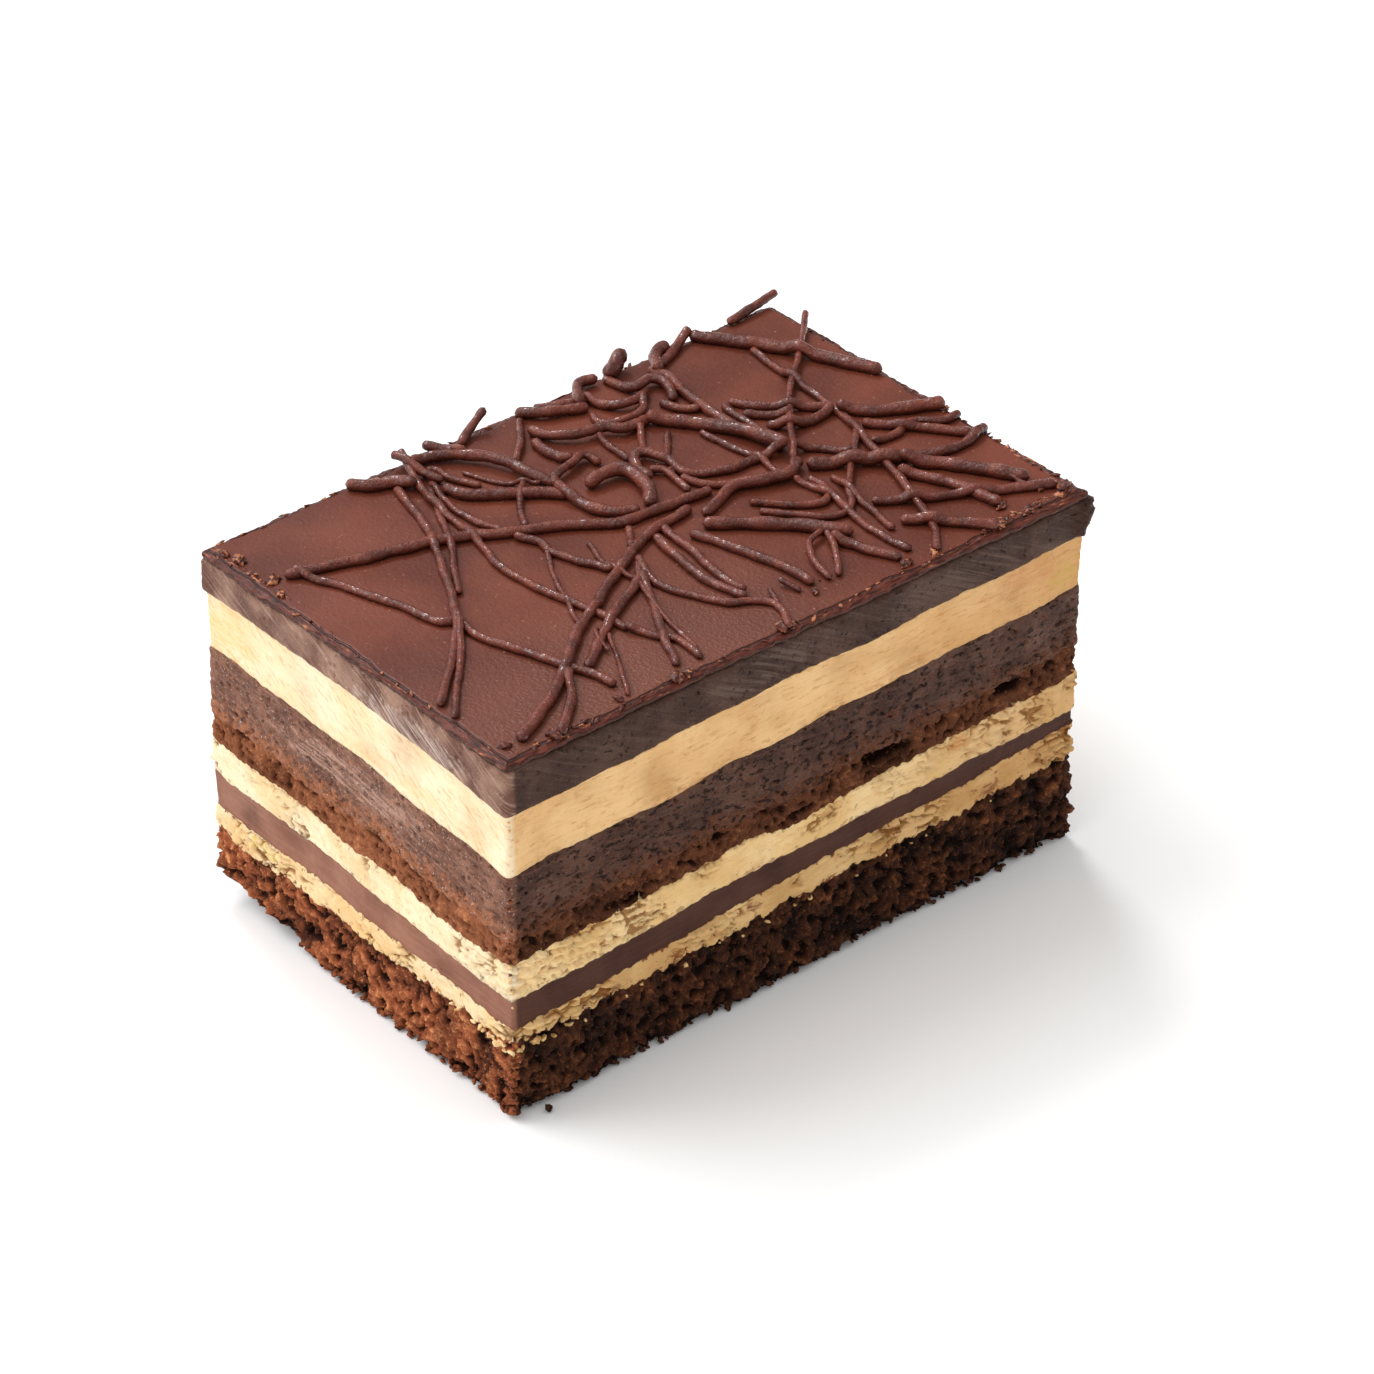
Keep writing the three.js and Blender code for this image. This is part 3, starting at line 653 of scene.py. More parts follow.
# The middle coffee cream is the same butter cream, spread thicker. It is torn into lumps and short
# cracks near both ends of the long front, and crumb from the sponge above has smeared into its top.
cream_middle_finish = Finish("middle_coffee_cream", gloss=0.1, soft=0.12)
cream_look(
    cream_middle_finish,
    front=(shade(252, 218, 162), shade(234, 192, 128)),
    left=(shade(246, 226, 190), shade(236, 202, 150)),
    stain=0.45,
    crack=0.8,
    fleck=0.3,
    marks=(
        ((-6.2, FRONT, 17.6), (1.2, 3, 0.8), 0.5, shade(196, 138, 82)),
        ((22.5, FRONT, 20.6), (2.2, 3, 0.9), 0.7, shade(206, 132, 72)),
        ((4.0, FRONT, 20.5), (3.0, 3, 0.5), 0.6, shade(176, 118, 66)),
    ),
)
cut_layer(
    "cream_middle", "under_sponge_middle", "under_cream_middle", cream_middle_finish,
    lambda place, rise: 0.15 + 0.3 * waves(place, 12.0) + torn_cream(place, 1.0),
)


# The middle sponge is a thin soaked sheet under the middle ganache. Its crumb is fine and brown, with a
# few deep pockets, and it and the ganache have partly run into each other.
sponge_middle_finish = Finish("middle_sponge", gloss=0.06)
sponge_look(
    sponge_middle_finish,
    front=(shade(42, 22, 14), shade(108, 65, 44), shade(164, 104, 68)),
    left=(shade(84, 42, 25), shade(156, 96, 66), shade(214, 140, 94)),
    pores=(-0.8, -0.1),
)
# Each pocket has its middle, its half length along the cut, its half height, and its depth.
POCKETS = (
    ((11.5, FRONT, 24.0), 3.4, 0.9, 2.0), ((29.8, FRONT, 24.9), 2.6, 0.8, 1.8),
    ((-0.7, FRONT, 22.0), 2.2, 0.5, 1.2), ((-23.1, FRONT, 20.9), 1.8, 0.6, 1.3),
    ((-11.5, FRONT, 23.4), 1.4, 0.5, 1.0), ((20.0, FRONT, 24.4), 1.3, 0.4, 0.9),
    ((LEFT, -2.8, 24.2), 1.9, 0.6, 1.5), ((LEFT, -10.4, 23.3), 1.4, 0.6, 1.4),
    ((LEFT, 4.5, 23.2), 1.2, 0.5, 1.0), ((LEFT, 9.5, 23.6), 1.5, 0.4, 0.8),
    ((RIGHT, 6.0, 25.0), 2.0, 0.6, 1.4), ((12.0, BACK, 24.8), 2.4, 0.6, 1.5),
)


def pockets(place):
    depth = 0.0
    ragged = 0.35 * rough(place, 0.9, 3, 8.0)
    for middle, length, height, deep in POCKETS:
        way = place - Vector(middle)
        away = math.hypot(way.x / length, way.y / length, way.z / height) + ragged
        depth = max(depth, deep * smooth_step(away, 1.15, 0.35))
    return depth


def middle_sponge_relief(place, rise):
    return -0.05 + 0.25 * waves(place, 10.0) + 0.46 * crumb_relief(place, 0.95, 3.0) - pockets(place)


cut_layer(
    "sponge_middle", "under_ganache_middle", "under_sponge_middle", sponge_middle_finish,
    middle_sponge_relief,
)


# The middle ganache is thick and was whipped, so its cut side has a fine grain and small pits, closer
# together low down and left on the long front. Its lowest part is mixed with crumb of the sponge.
whipped = Finish("middle_ganache", gloss=0.16)
colour, lines = ganache_look(
    whipped,
    front=(shade(70, 43, 33), shade(118, 82, 66)),
    left=(shade(106, 68, 53), shade(172, 122, 99)),
    streak=0.7,
    slant=0.12,
    marks=(
        ((12.8, FRONT, 29.0), (1.7, 3, 0.7), 1.0, shade(124, 62, 38)),
        # The pale grey mark on the left end is painted sheen.
        ((LEFT, 0, 29.5), (3, 16.0, 2.4), 0.6, shade(196, 158, 140)),
    ),
)
crumbly = whipped.noise(1.0, 4.0, 0.65, shift=2.0)
low_down = whipped.span(whipped.attribute("rise"), 0.42, 0.0)
# The crumb colour has a lighter copy for the lit left end and a darker, painted shade copy for the front.
crumb_tint = whipped.blend(whipped.lit_left_end, shade(104, 60, 37), shade(166, 104, 70))
mixed = whipped.span(crumbly + low_down * 0.24, 0.58, 0.70) * 0.85
colour = whipped.blend(mixed, colour, crumb_tint)
ganache_surface(whipped, colour, lines, depth=0.24, highlight_specks=0.7, pits=(0.85, 0.57))


def pitted_relief(place, rise):
    stretched = Vector((place.x / 2.2, place.y / 2.2, place.z))
    low = smooth_step(rise, 0.55, 0.0)
    near_end = smooth_step(abs(place.x + 30), 14.0, 2.0) * smooth_step(-place.y, 24, 26)
    pit = noise.noise(stretched / 0.42 + Vector((5.0, 1.0, 3.0)))
    pits = smooth_step(pit, 0.42 - 0.12 * low - 0.10 * near_end, 0.66)
    grain = 0.14 * rough(place, 0.6, 3, 2.0) + 0.26 * low * crumb_relief(place, 1.0, 3.0)
    return 0.1 + 0.22 * waves(place, 12.0) + grain - 0.45 * pits - 0.6 * pockets(place)


cut_layer(
    "ganache_middle", "under_cream_top", "under_ganache_middle", whipped, pitted_relief,
)


# The upper coffee cream is the thickest and smoothest. The knife dragged it level along the long
# front and left slanted orange-brown streaks near its lower line on the short left end.
cream_top_finish = Finish("upper_coffee_cream", gloss=0.1, soft=0.15)
cream_look(
    cream_top_finish,
    front=(shade(242, 200, 144), shade(226, 176, 118)),
    left=(shade(247, 227, 193), shade(244, 212, 166)),
    stain=0.12,
    crack=0.4,
    fleck=0.5,
    marks=(
        ((31.0, FRONT, 38.4), (6.0, 3, 2.2), 0.55, shade(208, 146, 98)),
        ((37.6, FRONT, 36.4), (2.4, 3, 2.0), 0.75, shade(204, 168, 92)),
        ((14.0, FRONT, 34.0), (9.0, 3, 1.0), 0.45, shade(212, 150, 96)),
        ((-14.0, FRONT, 32.2), (6.0, 3, 0.5), 0.6, shade(168, 108, 70)),
        ((LEFT, -8.0, 34.0), (3, 14.0, 1.5), 0.35, shade(240, 196, 132)),
        ((LEFT, 22.0, 36.0), (3, 5.0, 5.0), 0.5, shade(244, 196, 116)),
    ),
)


def smooth_cream_relief(place, rise):
    level = Vector((place.x / 9.0, place.y / 9.0, place.z / 0.5))
    return -0.1 + 0.15 * waves(place, 16.0) + 0.05 * noise.noise(level) + 0.04 * rough(place, 1.0, 3, 4.0)


cut_layer(
    "cream_top", "under_ganache_top", "under_cream_top", cream_top_finish,
    smooth_cream_relief,
)


# The top ganache is firm and dense. The knife left slanted streaks on it, grey where they catch the
# light. It stands a little proud of the cream, most of all as a ragged ledge at the right front corner.
ganache_top_finish = Finish("top_ganache", gloss=0.14)
colour, lines = ganache_look(
    ganache_top_finish,
    front=(shade(60, 37, 29), shade(98, 72, 59)),
    left=(shade(98, 62, 49), shade(184, 146, 125)),
    streak=0.75,
    slant=0.55,
    marks=(
        # The pale grey mark on the left end is painted sheen.
        ((LEFT, -10.5, 41.0), (3, 12.0, 2.2), 0.6, shade(206, 186, 174)),
        ((LEFT, 10.0, 42.0), (3, 8.0, 2.0), 0.6, shade(96, 60, 48)),
        # These greyish marks on the front are painted sheen.
        ((-6.0, FRONT, 42.4), (9.0, 3, 2.2), 0.45, shade(116, 96, 84)),
        ((22.0, FRONT, 42.4), (12.0, 3, 2.0), 0.35, shade(112, 88, 76)),
    ),
)
ganache_surface(ganache_top_finish, colour, lines, highlight_specks=0.3, pits=(0.7, 0.63))


def streaked_relief(place, rise):
    lean = place.z + 0.55 * (place.x - place.y)
    dragged = Vector((place.x / 7.0, place.y / 7.0, lean / 0.55))
    pits = smooth_step(noise.noise(place / 0.6 + Vector((4.0, 9.0, 1.0))), 0.54, 0.68)
    flare = smooth_step(place.x, 38.0, 39.8) * smooth_step(-place.y, 4.0, 22.0)
    flare *= 0.6 + 0.6 * rough(place, 1.1, 3, 15.0)
    return 0.2 + 0.25 * waves(place, 14.0) + 0.09 * noise.noise(dragged) - 0.25 * pits + flare


cut_layer(
    "ganache_top", "under_glaze", "under_ganache_top", ganache_top_finish,
    streaked_relief,
)


# The glaze is a thin sheet of chocolate that was poured over the slab and set with a fine bloom. The
# knife cracked its edge into a ragged, reddish band that slopes down past the cut sides.
LIP = 0.5  # how far its edge swings in and out
LIP_WAVE_LENGTH = 15.0
BROKEN = 0.55  # width of the cracked band
BROKEN_DROP = 0.26  # how far that band slopes down
SHEET_STEP = 0.26  # length of a face's side
# Rings of the edge: how far out each is, its height against the top, and how ragged it is.
LIP_RINGS = (
    (0.02, -0.34, 0.8), (0.16, -0.48, 1.0), (0.18, -0.70, 1.0), (0.02, -0.98, 0.4), (-0.9, -1.05, 0.0),
)
glaze_finish = Finish("chocolate_glaze", gloss=0.22)


def glaze_look(finish):
    cloud = finish.noise(12.0, 3.0, 0.5)
    skin = finish.noise(0.42, 2.0, 0.55)
    dust = finish.noise(0.5, 2.0, 0.7, shift=8.0)
    # Painted sheen: the glaze is lighter and greyer towards the near front corner.
    near_front = finish.span(finish.y, -2.0, -22.0) * finish.span(finish.x, 14.0, -6.0)
    colour = finish.blend(finish.span(cloud, 0.3, 0.7), shade(90, 42, 29), shade(114, 57, 41))
    colour = finish.blend(near_front * 0.6, colour, shade(106, 64, 51))
    colour = finish.blend(finish.span(dust, 0.68, 0.76) * 0.6, colour, shade(190, 140, 108))
    split = finish.attribute("split")
    edge = finish.span(split, 0.0, -0.12)
    crack = finish.span(abs(split - 0.04), 0.17, 0.05)
    splinters = finish.vector(finish.attribute("along") * 0.25, finish.attribute("across") * 1.5, 0.0)
    broken = finish.noise(0.5, 4.0, 0.6, place=splinters)
    # Painted highlights: orange-tan on the splinters of the cracked band, in clusters.
    split_highlight = finish.span(finish.noise(3.4, 2.0, 0.5, shift=21.0), 0.50, 0.62)
    lip = finish.blend(finish.span(broken, 0.36, 0.60), shade(52, 20, 12), shade(104, 50, 37))
    lip = finish.blend(finish.span(broken, 0.56, 0.66) * split_highlight, lip, shade(196, 124, 80))
    lip = finish.blend(finish.span(finish.attribute("across"), -0.40, -0.75), lip, shade(68, 40, 31))
    colour = finish.blend(edge, colour, lip)
    # Painted shade: a near black line along the crack.
    colour = finish.blend(crack * 0.8, colour, shade(38, 13, 8))
    height = skin * (0.5 + near_front) + edge * broken * 1.5 - crack * 1.5
    finish.surface(colour, finish.span(skin, 0.3, 0.7, 0.50, 0.32), height, 0.08)


glaze_look(glaze_finish)
bm = mesh_with("split", "along", "across")
split_layer, along_layer, across_layer = bm.verts.layers.float.values()
columns = round(LENGTH / SHEET_STEP)
bmesh.ops.create_grid(bm, x_segments=columns, y_segments=round(DEPTH / SHEET_STEP), size=0.5)


def inner_corner(place):
    """The nearest place to it in the rectangle between the middles of the rounded corners."""
    half_x = LENGTH / 2 - CORNER
    half_y = DEPTH / 2 - CORNER
    return Vector((max(-half_x, min(half_x, place.x)), max(-half_y, min(half_y, place.y)), 0))


def rounded(x, y, out_by):
    """Draws a place in the unit square out to the slice's outline, moved out by the given amount."""
    place = Vector((x * LENGTH, y * DEPTH, 0))
    inner = inner_corner(place)
    beyond = place - inner
    if beyond.length < 1e-6:
        return place
    reach = max(abs(beyond.x), abs(beyond.y))
    return inner + beyond.normalized() * reach * (1 + out_by / CORNER)


def glaze_top_height(x, y):
    return tilted("glaze_top", x, y) + 0.10 * noise.noise(Vector((x / 9.0, y / 9.0, 3.0)))


for vert in bm.verts:
    x, y = vert.co.x, vert.co.y
    near = min(0.5 - abs(x), (0.5 - abs(y)) * DEPTH / LENGTH) * LENGTH
    place = rounded(x, y, -0.2)
    on_long_side = (0.5 - abs(y)) * DEPTH < (0.5 - abs(x)) * LENGTH
    along = place.x if on_long_side else place.y + LENGTH
    crack_line = BROKEN + 0.35 * noise.noise(Vector((along / 7.0, 4.0 * on_long_side, 1.0)))
    crack_line += 0.3 * rough(Vector((along / 1.6, 0, 3 * on_long_side)), 2.0, 3, 12.0)
    inside = smooth_step(near, crack_line, crack_line - 0.3)
    splinters = rough(Vector((along / 3.0, near, 3 * on_long_side)), 0.5, 3, 77.0)
    slope = BROKEN_DROP * min(1.0, max(0.0, 1 - near / max(0.2, crack_line)))
    groove = 0.12 * smooth_step(abs(near - crack_line + 0.1), 0.3, 0.0)
    vert[split_layer] = near - crack_line
    vert[along_layer] = along
    vert[across_layer] = near
    place.z = glaze_top_height(place.x, place.y) - slope - groove + 0.16 * inside * splinters
    vert.co = place
for ring_out, ring_down, ragged in LIP_RINGS:
    grown = bmesh.ops.extrude_edge_only(bm, edges=[edge for edge in bm.edges if edge.is_boundary])
    for vert in [item for item in grown["geom"] if isinstance(item, bmesh.types.BMVert)]:
        flat = Vector((vert.co.x, vert.co.y, 0))
        corner = inner_corner(flat)
        facing = (flat - corner).normalized()
        home = corner + facing * CORNER
        under = Vector((home.x, home.y, tilted("under_glaze", home.x, home.y)))
        lip = 0.4 * LIP * waves(home, LIP_WAVE_LENGTH) + 0.30 * rough(home, 1.6, 4, 91.0)
        place = home + facing * (knife(under) + ring_out + ragged * lip)
        place.z = tilted("glaze_top", home.x, home.y) + ring_down + 0.12 * ragged * rough(home, 0.7, 3, 9.0)
        vert[split_layer] = -1.0
        vert[along_layer] = home.x if abs(facing.y) > abs(facing.x) else home.y + LENGTH
        vert[across_layer] = ring_down
        vert.co = place
bmesh.ops.holes_fill(bm, edges=[edge for edge in bm.edges if edge.is_boundary], sides=0)
fan_ends(bm)
bmesh.ops.recalc_face_normals(bm, faces=bm.faces)
cake_piece("top_glaze_sheet", bm, glaze_finish, "top_glaze")


# The drizzle was piped over the set glaze as separate thin lines of chocolate. Each lies where it fell,
# arches over the ones piped before it, and is a little uneven, with rounded ends where it broke off.
STRAND_STEP = 0.3  # length of one ring of faces
STRAND_SIDES = 14
STRAND_SUNK = 0.22  # part of its radius that a strand has sunk into the glaze
STRAND_CLIMB = 0.9  # how far it climbs over another one, in that one's radius
CLIMB_LIMIT = 0.9  # the most that it climbs
CLIMB_SMOOTHING = 6
SWAY = 0.22  # how far a line wanders from its course
# Each strand has its radius, then the places that it passes, with its height above the glaze where
# it has left it.
STRANDS = (
    # Long lines on the left half.
    (0.62, (-36.8, 15.6), (-33, 14.4), (-25, 12), (-18.5, 10), (-14, 7.2),
     (-8, 4.3), (-3.5, 1), (1, 0.2), (8.6, -0.4)),
    (0.5, (-35.6, 15.8), (-33, 9.5), (-30.8, 3), (-29.6, -1.6), (-27.9, -2.8)),
    (0.5, (-27.9, -2.6), (-28, -6.5), (-26, -12.5), (-24.5, -17.4), (-23.2, -20), (-22.8, -22.8)),
    (0.5, (-17, 22), (-19.7, 12.5), (-21.5, 9), (-24.5, 3), (-27.5, -2), (-31, -6.3), (-38.8, -14)),
    (0.42, (-14.2, 19.5), (-16.6, 15), (-18.8, 10.3), (-21.5, 6), (-24.6, 1.2)),
    (0.42, (-27.6, -2.4), (-30.4, -6.6), (-34.5, -11.4), (-39, -16.6)),
    (0.48, (-13.2, 26.4, 1.2), (-14.5, 22, 0.4), (-16, 16), (-16.6, 10),
     (-18, 2), (-17.6, -4), (-15.8, -11), (-15.3, -15.5)),
    (0.45, (-15.4, -15), (-13.8, -18.5), (-12.6, -20.5), (-13, -24.6)),
    (0.62, (-36.6, -24.4), (-30, -20.8), (-25.5, -17.5), (-19.5, -12.7),
     (-14, -9.4), (-8.5, -6), (-2, -3), (4.6, -1.8)),
    (0.55, (-32.6, -26), (-28.5, -22.4), (-25.2, -18)),
    (0.58, (-23.2, -18.6), (-20, -16.2), (-14, -12.2), (-9, -9.4), (-6.4, -6.6)),
    # Crossing lines on the left half.
    (0.5, (-13.4, 6.2), (-11.9, 3.2), (-12.1, 1.2), (-10.9, -2.4), (-9.4, -6)),
    (0.45, (-6.2, -6), (-7.4, -9.6), (-7.1, -12.6), (-4.4, -18.4),
     (-2.2, -19.8), (-0.6, -22), (-2.2, -26.2)),
    (0.5, (-7.8, -8.6), (-10.4, -13.8), (-13, -18.4), (-15.8, -24)),
    (0.45, (-2.8, -0.4), (-4.2, -2.4), (-5.4, -4.2)),
    (0.55, (-1.9, -3.8), (-2.8, -9.8), (-3, -14.4), (-2.2, -19)),
    (0.5, (-0.2, -3), (-0.5, -8), (-1.4, -13), (-1.7, -18.2)),
    (0.7, (-21, 26), (-19, 24), (-16.4, 22.6), (-15.2, 20.6)),
    (0.66, (-13, 24.8), (-10.4, 24.1, 0.3), (-8, 22, 0.5),
     (-5.4, 17.8, 0.6), (-4.4, 13.6, 0.4), (-3.4, 11)),
    (0.45, (-13.2, 22.4), (-11.5, 22.3), (-11.2, 19.8), (-9.6, 16.4)),
    (0.7, (-13.2, 18.6), (-12.2, 15.8), (-9.4, 13.6), (-6, 11), (-3.6, 8.6)),
    (0.42, (-13.4, 20.6), (-14.8, 15), (-14.6, 11.4), (-13.4, 8)),
    (0.4, (-6.2, 13.6, 0.6), (-8.6, 11.2), (-11, 7)),
    (0.5, (-3.9, 10.4), (-2.9, 12.2, 0.4), (0.4, 13, 0.6), (2.2, 13.6, 0.5), (3.1, 11.4)),
    (0.66, (-4.2, 10.4), (-3.6, 5.6), (-2.4, 3), (0.2, 1.4)),
    (0.8, (-1.4, 8.6), (0.6, 8.7, 0.5), (3.4, 8, 0.5), (3.4, 4.2, 0.3), (1.6, 1)),
    (0.42, (2, 24.6), (-1.2, 20.4, 0.3), (-4.8, 17)),
    (0.62, (0, 20), (0.1, 17), (0.8, 13.8)),
    # Loops and broken pieces in the middle.
    (0.62, (1.3, 22), (2, 19.2, 0.4), (4.2, 17.1, 0.6), (7.4, 16.4, 0.5), (9.4, 14.9, 0.4), (13, 15.3)),
    (0.65, (2.2, 25.8), (4.6, 23.2, 0.4), (9.4, 21.4)),
    (0.5, (4.5, 25.4), (7, 23.6, 0.4), (10.2, 22.8)),
    (0.56, (10.3, 24.8), (10.7, 21.4), (12, 19.2, 0.4), (14.2, 18.8, 0.5), (16.4, 20)),
    (0.45, (8.9, 20.4), (8.4, 18.2), (10.2, 16.5, 0.4), (13.2, 16.9, 0.4), (15, 19)),
    (0.6, (14.6, 25.4), (14.9, 22.6), (15.6, 21.1, 0.4),
     (18.3, 20.9, 0.5), (18.5, 18.4, 0.3), (17.4, 16.6)),
    (0.62, (19.8, 23.4), (19.3, 16), (18.9, 11), (19.3, 5.4), (20.1, 0.8)),
    (0.5, (20.9, 12.2), (20.8, 6.4), (20.3, 1)),
    (0.78, (12.4, 15.2), (14.6, 13), (17.2, 9.2), (19, 5), (20, 0)),
    (0.5, (16.1, 17.4), (16.8, 14.8), (18.4, 13.2)),
    (0.45, (6.4, 16), (6, 13), (5.9, 10)),
    (0.45, (10.9, 14.5), (9.4, 12.2), (7.7, 10)),
    (0.42, (12.9, 12), (11.2, 10.1), (9, 7.3)),
    (0.56, (4.9, 5), (5.2, 8.2, 0.3), (7.1, 9.8, 0.5), (8.6, 7.2, 0.4),
     (9, 4), (12.4, 1.6), (16, 1.2), (20, 0.6)),
    (0.42, (6, 7, 0.3), (7.2, 5.4, 0.3), (6.8, 1)),
    (0.42, (15.5, 9.6), (15.9, 6), (16.8, 1.2), (16.5, -2.6)),
    (0.48, (7.8, 3.5), (9, 0.8), (12.4, -1.5), (17, -3)),
    (0.66, (4.8, -3.8), (7.6, -2.8), (10.4, -1.8, 0.2),
     (13.6, -3, 0.4), (16.8, -3.9, 0.4), (19.6, -2.4, 0.3)),
    (0.76, (3.4, -5.2), (7, -8.3), (11.4, -12.6), (14.8, -17)),
    (0.58, (1.4, -5.6), (3.2, -11.5), (4.8, -17.5), (5.2, -21.6)),
    (0.46, (10.3, -4.8), (14, -8.8), (16.4, -10), (18.4, -8.4), (18.3, -5.4)),
    (0.38, (12.2, -14.8, 0.6), (9.4, -15.8, 0.5), (7.4, -19.4, 0.3), (7.2, -22)),
    (0.38, (12.3, -15.3, 0.6), (10.8, -18.4, 0.5), (8.2, -22)),
    (0.56, (12.1, -16.2), (13.4, -19.6), (15.4, -24)),
    # Long lines and crossings on the right half.
    (0.42, (41, 21.4, 0.4), (35, 15.3, 0.4), (29, 10, 0.4), (24.5, 5, 0.5), (20.8, 0, 0.6), (17.4, -4)),
    (0.42, (29.9, -0.2), (25, -5.2, 0.4), (20.4, -9.7, 0.3), (17.6, -13.2), (14.6, -12.4), (9.8, -6.8)),
    (0.46, (31.3, 19.4), (30.6, 12), (29.8, 2.4), (27.6, -5.2, 0.3),
     (24.9, -14, 0.4), (22.2, -21.2), (19.6, -25.2)),
    (0.45, (16.8, -4.6), (17.9, -9.4), (16.8, -16), (17.1, -23.4)),
    (0.42, (20.5, -6.6), (19.8, -12.4), (18.6, -19)),
    (0.75, (27.8, 26.2), (31.6, 20.4), (34.6, 15.4), (39.3, 6.2)),
    (0.52, (21.8, 12.4), (25, 8.4), (29.8, 4.2)),
    (0.5, (21.5, 9.3), (23.6, 7.2), (25.4, 5.8)),
    (0.6, (21.8, 5.8), (25, 3.5), (29.8, 3.5)),
    (0.75, (29.9, 3.1), (33.4, -0.3), (40, -3.4)),
    (0.5, (28.4, -4.3), (31.6, -4.8), (34.6, -3.9), (37.6, -6), (40, -5.9)),
    (0.58, (30.2, -0.6), (33.4, -4.5), (38.2, -10)),
    (0.58, (27.4, -7.4), (31.2, -10.2), (35.4, -11.1), (40.2, -9.9)),
    (0.75, (19.6, -3.6), (23.4, -6), (28.4, -9.4)),
    (0.46, (20.6, 0.4), (23, -1.4), (25.4, -4.6)),
    (0.66, (26.4, -10.8), (29.2, -16.4), (30.7, -22.8)),
    (0.76, (27.8, -9.2), (32.2, -14.2), (36.4, -21)),
    (0.58, (20.4, -13.4), (24.4, -16.2), (30, -19.4), (38.2, -23.8)),
    (0.66, (20.2, -18.2), (24, -22), (27.6, -26)),
    # Ends that stick up or out over the back edge.
    (0.6, (21.2, 23.2), (24.6, 25), (28, 26.5, 0.6)),
    (0.72, (19.6, 21.8), (20.8, 23.6, 0.2), (22.4, 25.4, 0.3), (24.4, 25.8, 0.3)),
    (0.95, (14.6, 24.6), (16.4, 25.6, 0.3), (17.4, 26, 0.9), (18.4, 26.1, 1.5)),
    (0.5, (-6.4, 24.6), (-4.6, 25.6, 0.3), (-3, 26.1, 1), (-1.4, 26.3, 2)),
    (0.5, (33, 25.6), (36.5, 26, 0.3), (41, 26.5, 0.7)),
    (0.5, (-12.4, 19.6, 0.2), (-13.4, 22.6, 0.5), (-14.4, 26.3, 1)),
    (0.55, (-7.4, 22, 0.3), (-8.8, 24.2, 0.5), (-10.2, 26.3, 0.8)),
    (0.62, (8.6, 22, 0.2), (10, 24.4, 0.3), (11.6, 25.6, 0.4), (13.4, 25, 0.2)),
)
# The thinnest threads were drawn out as the piping bag was lifted.
THREADS = (
    (0.3, (-12.4, 1.6), (-14.6, -2), (-16.4, -6.2), (-18.6, -11.6)),
    (0.28, (-17.4, -15), (-19.6, -19.1), (-21.4, -22.3, 0.3), (-23, -25)),
    (0.22, (-17.9, -13.8, 0.4), (-18.9, -14.6, 0.9), (-19.6, -17.6, 0.2)),
    (0.3, (-7.9, 0.3), (-9.2, -4), (-8.9, -8.6), (-10.4, -14), (-12.2, -23)),
    (0.28, (-9.4, 20.1), (-7.6, 15.6), (-4.6, 12.2)),
    (0.3, (0.6, -19.4, 0.5), (-0.4, -22.4)),
    (0.3, (2.4, -18.8, 0.5), (3.4, -21.8)),
    (0.3, (34.2, -15.5), (35, -18.5), (35.2, -22)),
)


def on_glaze(x, y, above=0.0):
    return Vector((x, y, tilted("glaze_top", x, y) + above))


def piped_line(places):
    """A smooth line through the places on the glaze, with a point about every STRAND_STEP."""
    points = [on_glaze(*place) for place in places]
    line = [points[0]]
    for number in range(len(points) - 1):
        start = points[number]
        end = points[number + 1]
        before = points[max(number - 1, 0)]
        after = points[min(number + 2, len(points) - 1)]
        pull = (end - start).length / 3
        leave = start + (end - before).normalized() * pull
        arrive = end - (after - start).normalized() * pull
        steps = max(2, math.ceil((end - start).length / STRAND_STEP))
        line += geometry.interpolate_bezier(start, leave, arrive, end, steps + 1)[1:]
    sway = []
    for spot in line:
        drift = Vector((noise.noise(spot / 2.6), noise.noise(spot / 2.6 + Vector((5, 5, 5))), 0))
        sway.append(spot + SWAY * drift)
    return sway


def arch_over(line, radius, laid):
    """Raises a line where it passes over strands that were piped before it."""
    tree = kdtree.KDTree(len(laid))
    for number, (spot, _) in enumerate(laid):
        tree.insert(Vector((spot.x, spot.y, 0)), number)
    tree.balance()
    climb = []
    for spot in line:
        raised = 0.0
        for _, number, gap in tree.find_range(Vector((spot.x, spot.y, 0)), 2.0):
            below, thick = laid[number]
            reach = radius + thick
            if gap < reach:
                over = below.z + STRAND_CLIMB * thick * (1 - (gap / reach) ** 2) - spot.z
                raised = max(raised, over)
        climb.append(min(raised, CLIMB_LIMIT))
    for _ in range(CLIMB_SMOOTHING):
        padded = [climb[0], *climb, climb[-1]]
        climb = [(padded[i - 1] + 2 * padded[i] + padded[i + 1]) / 4 for i in range(1, len(padded) - 1)]
    return [spot + Vector((0, 0, rise)) for spot, rise in zip(line, climb)]


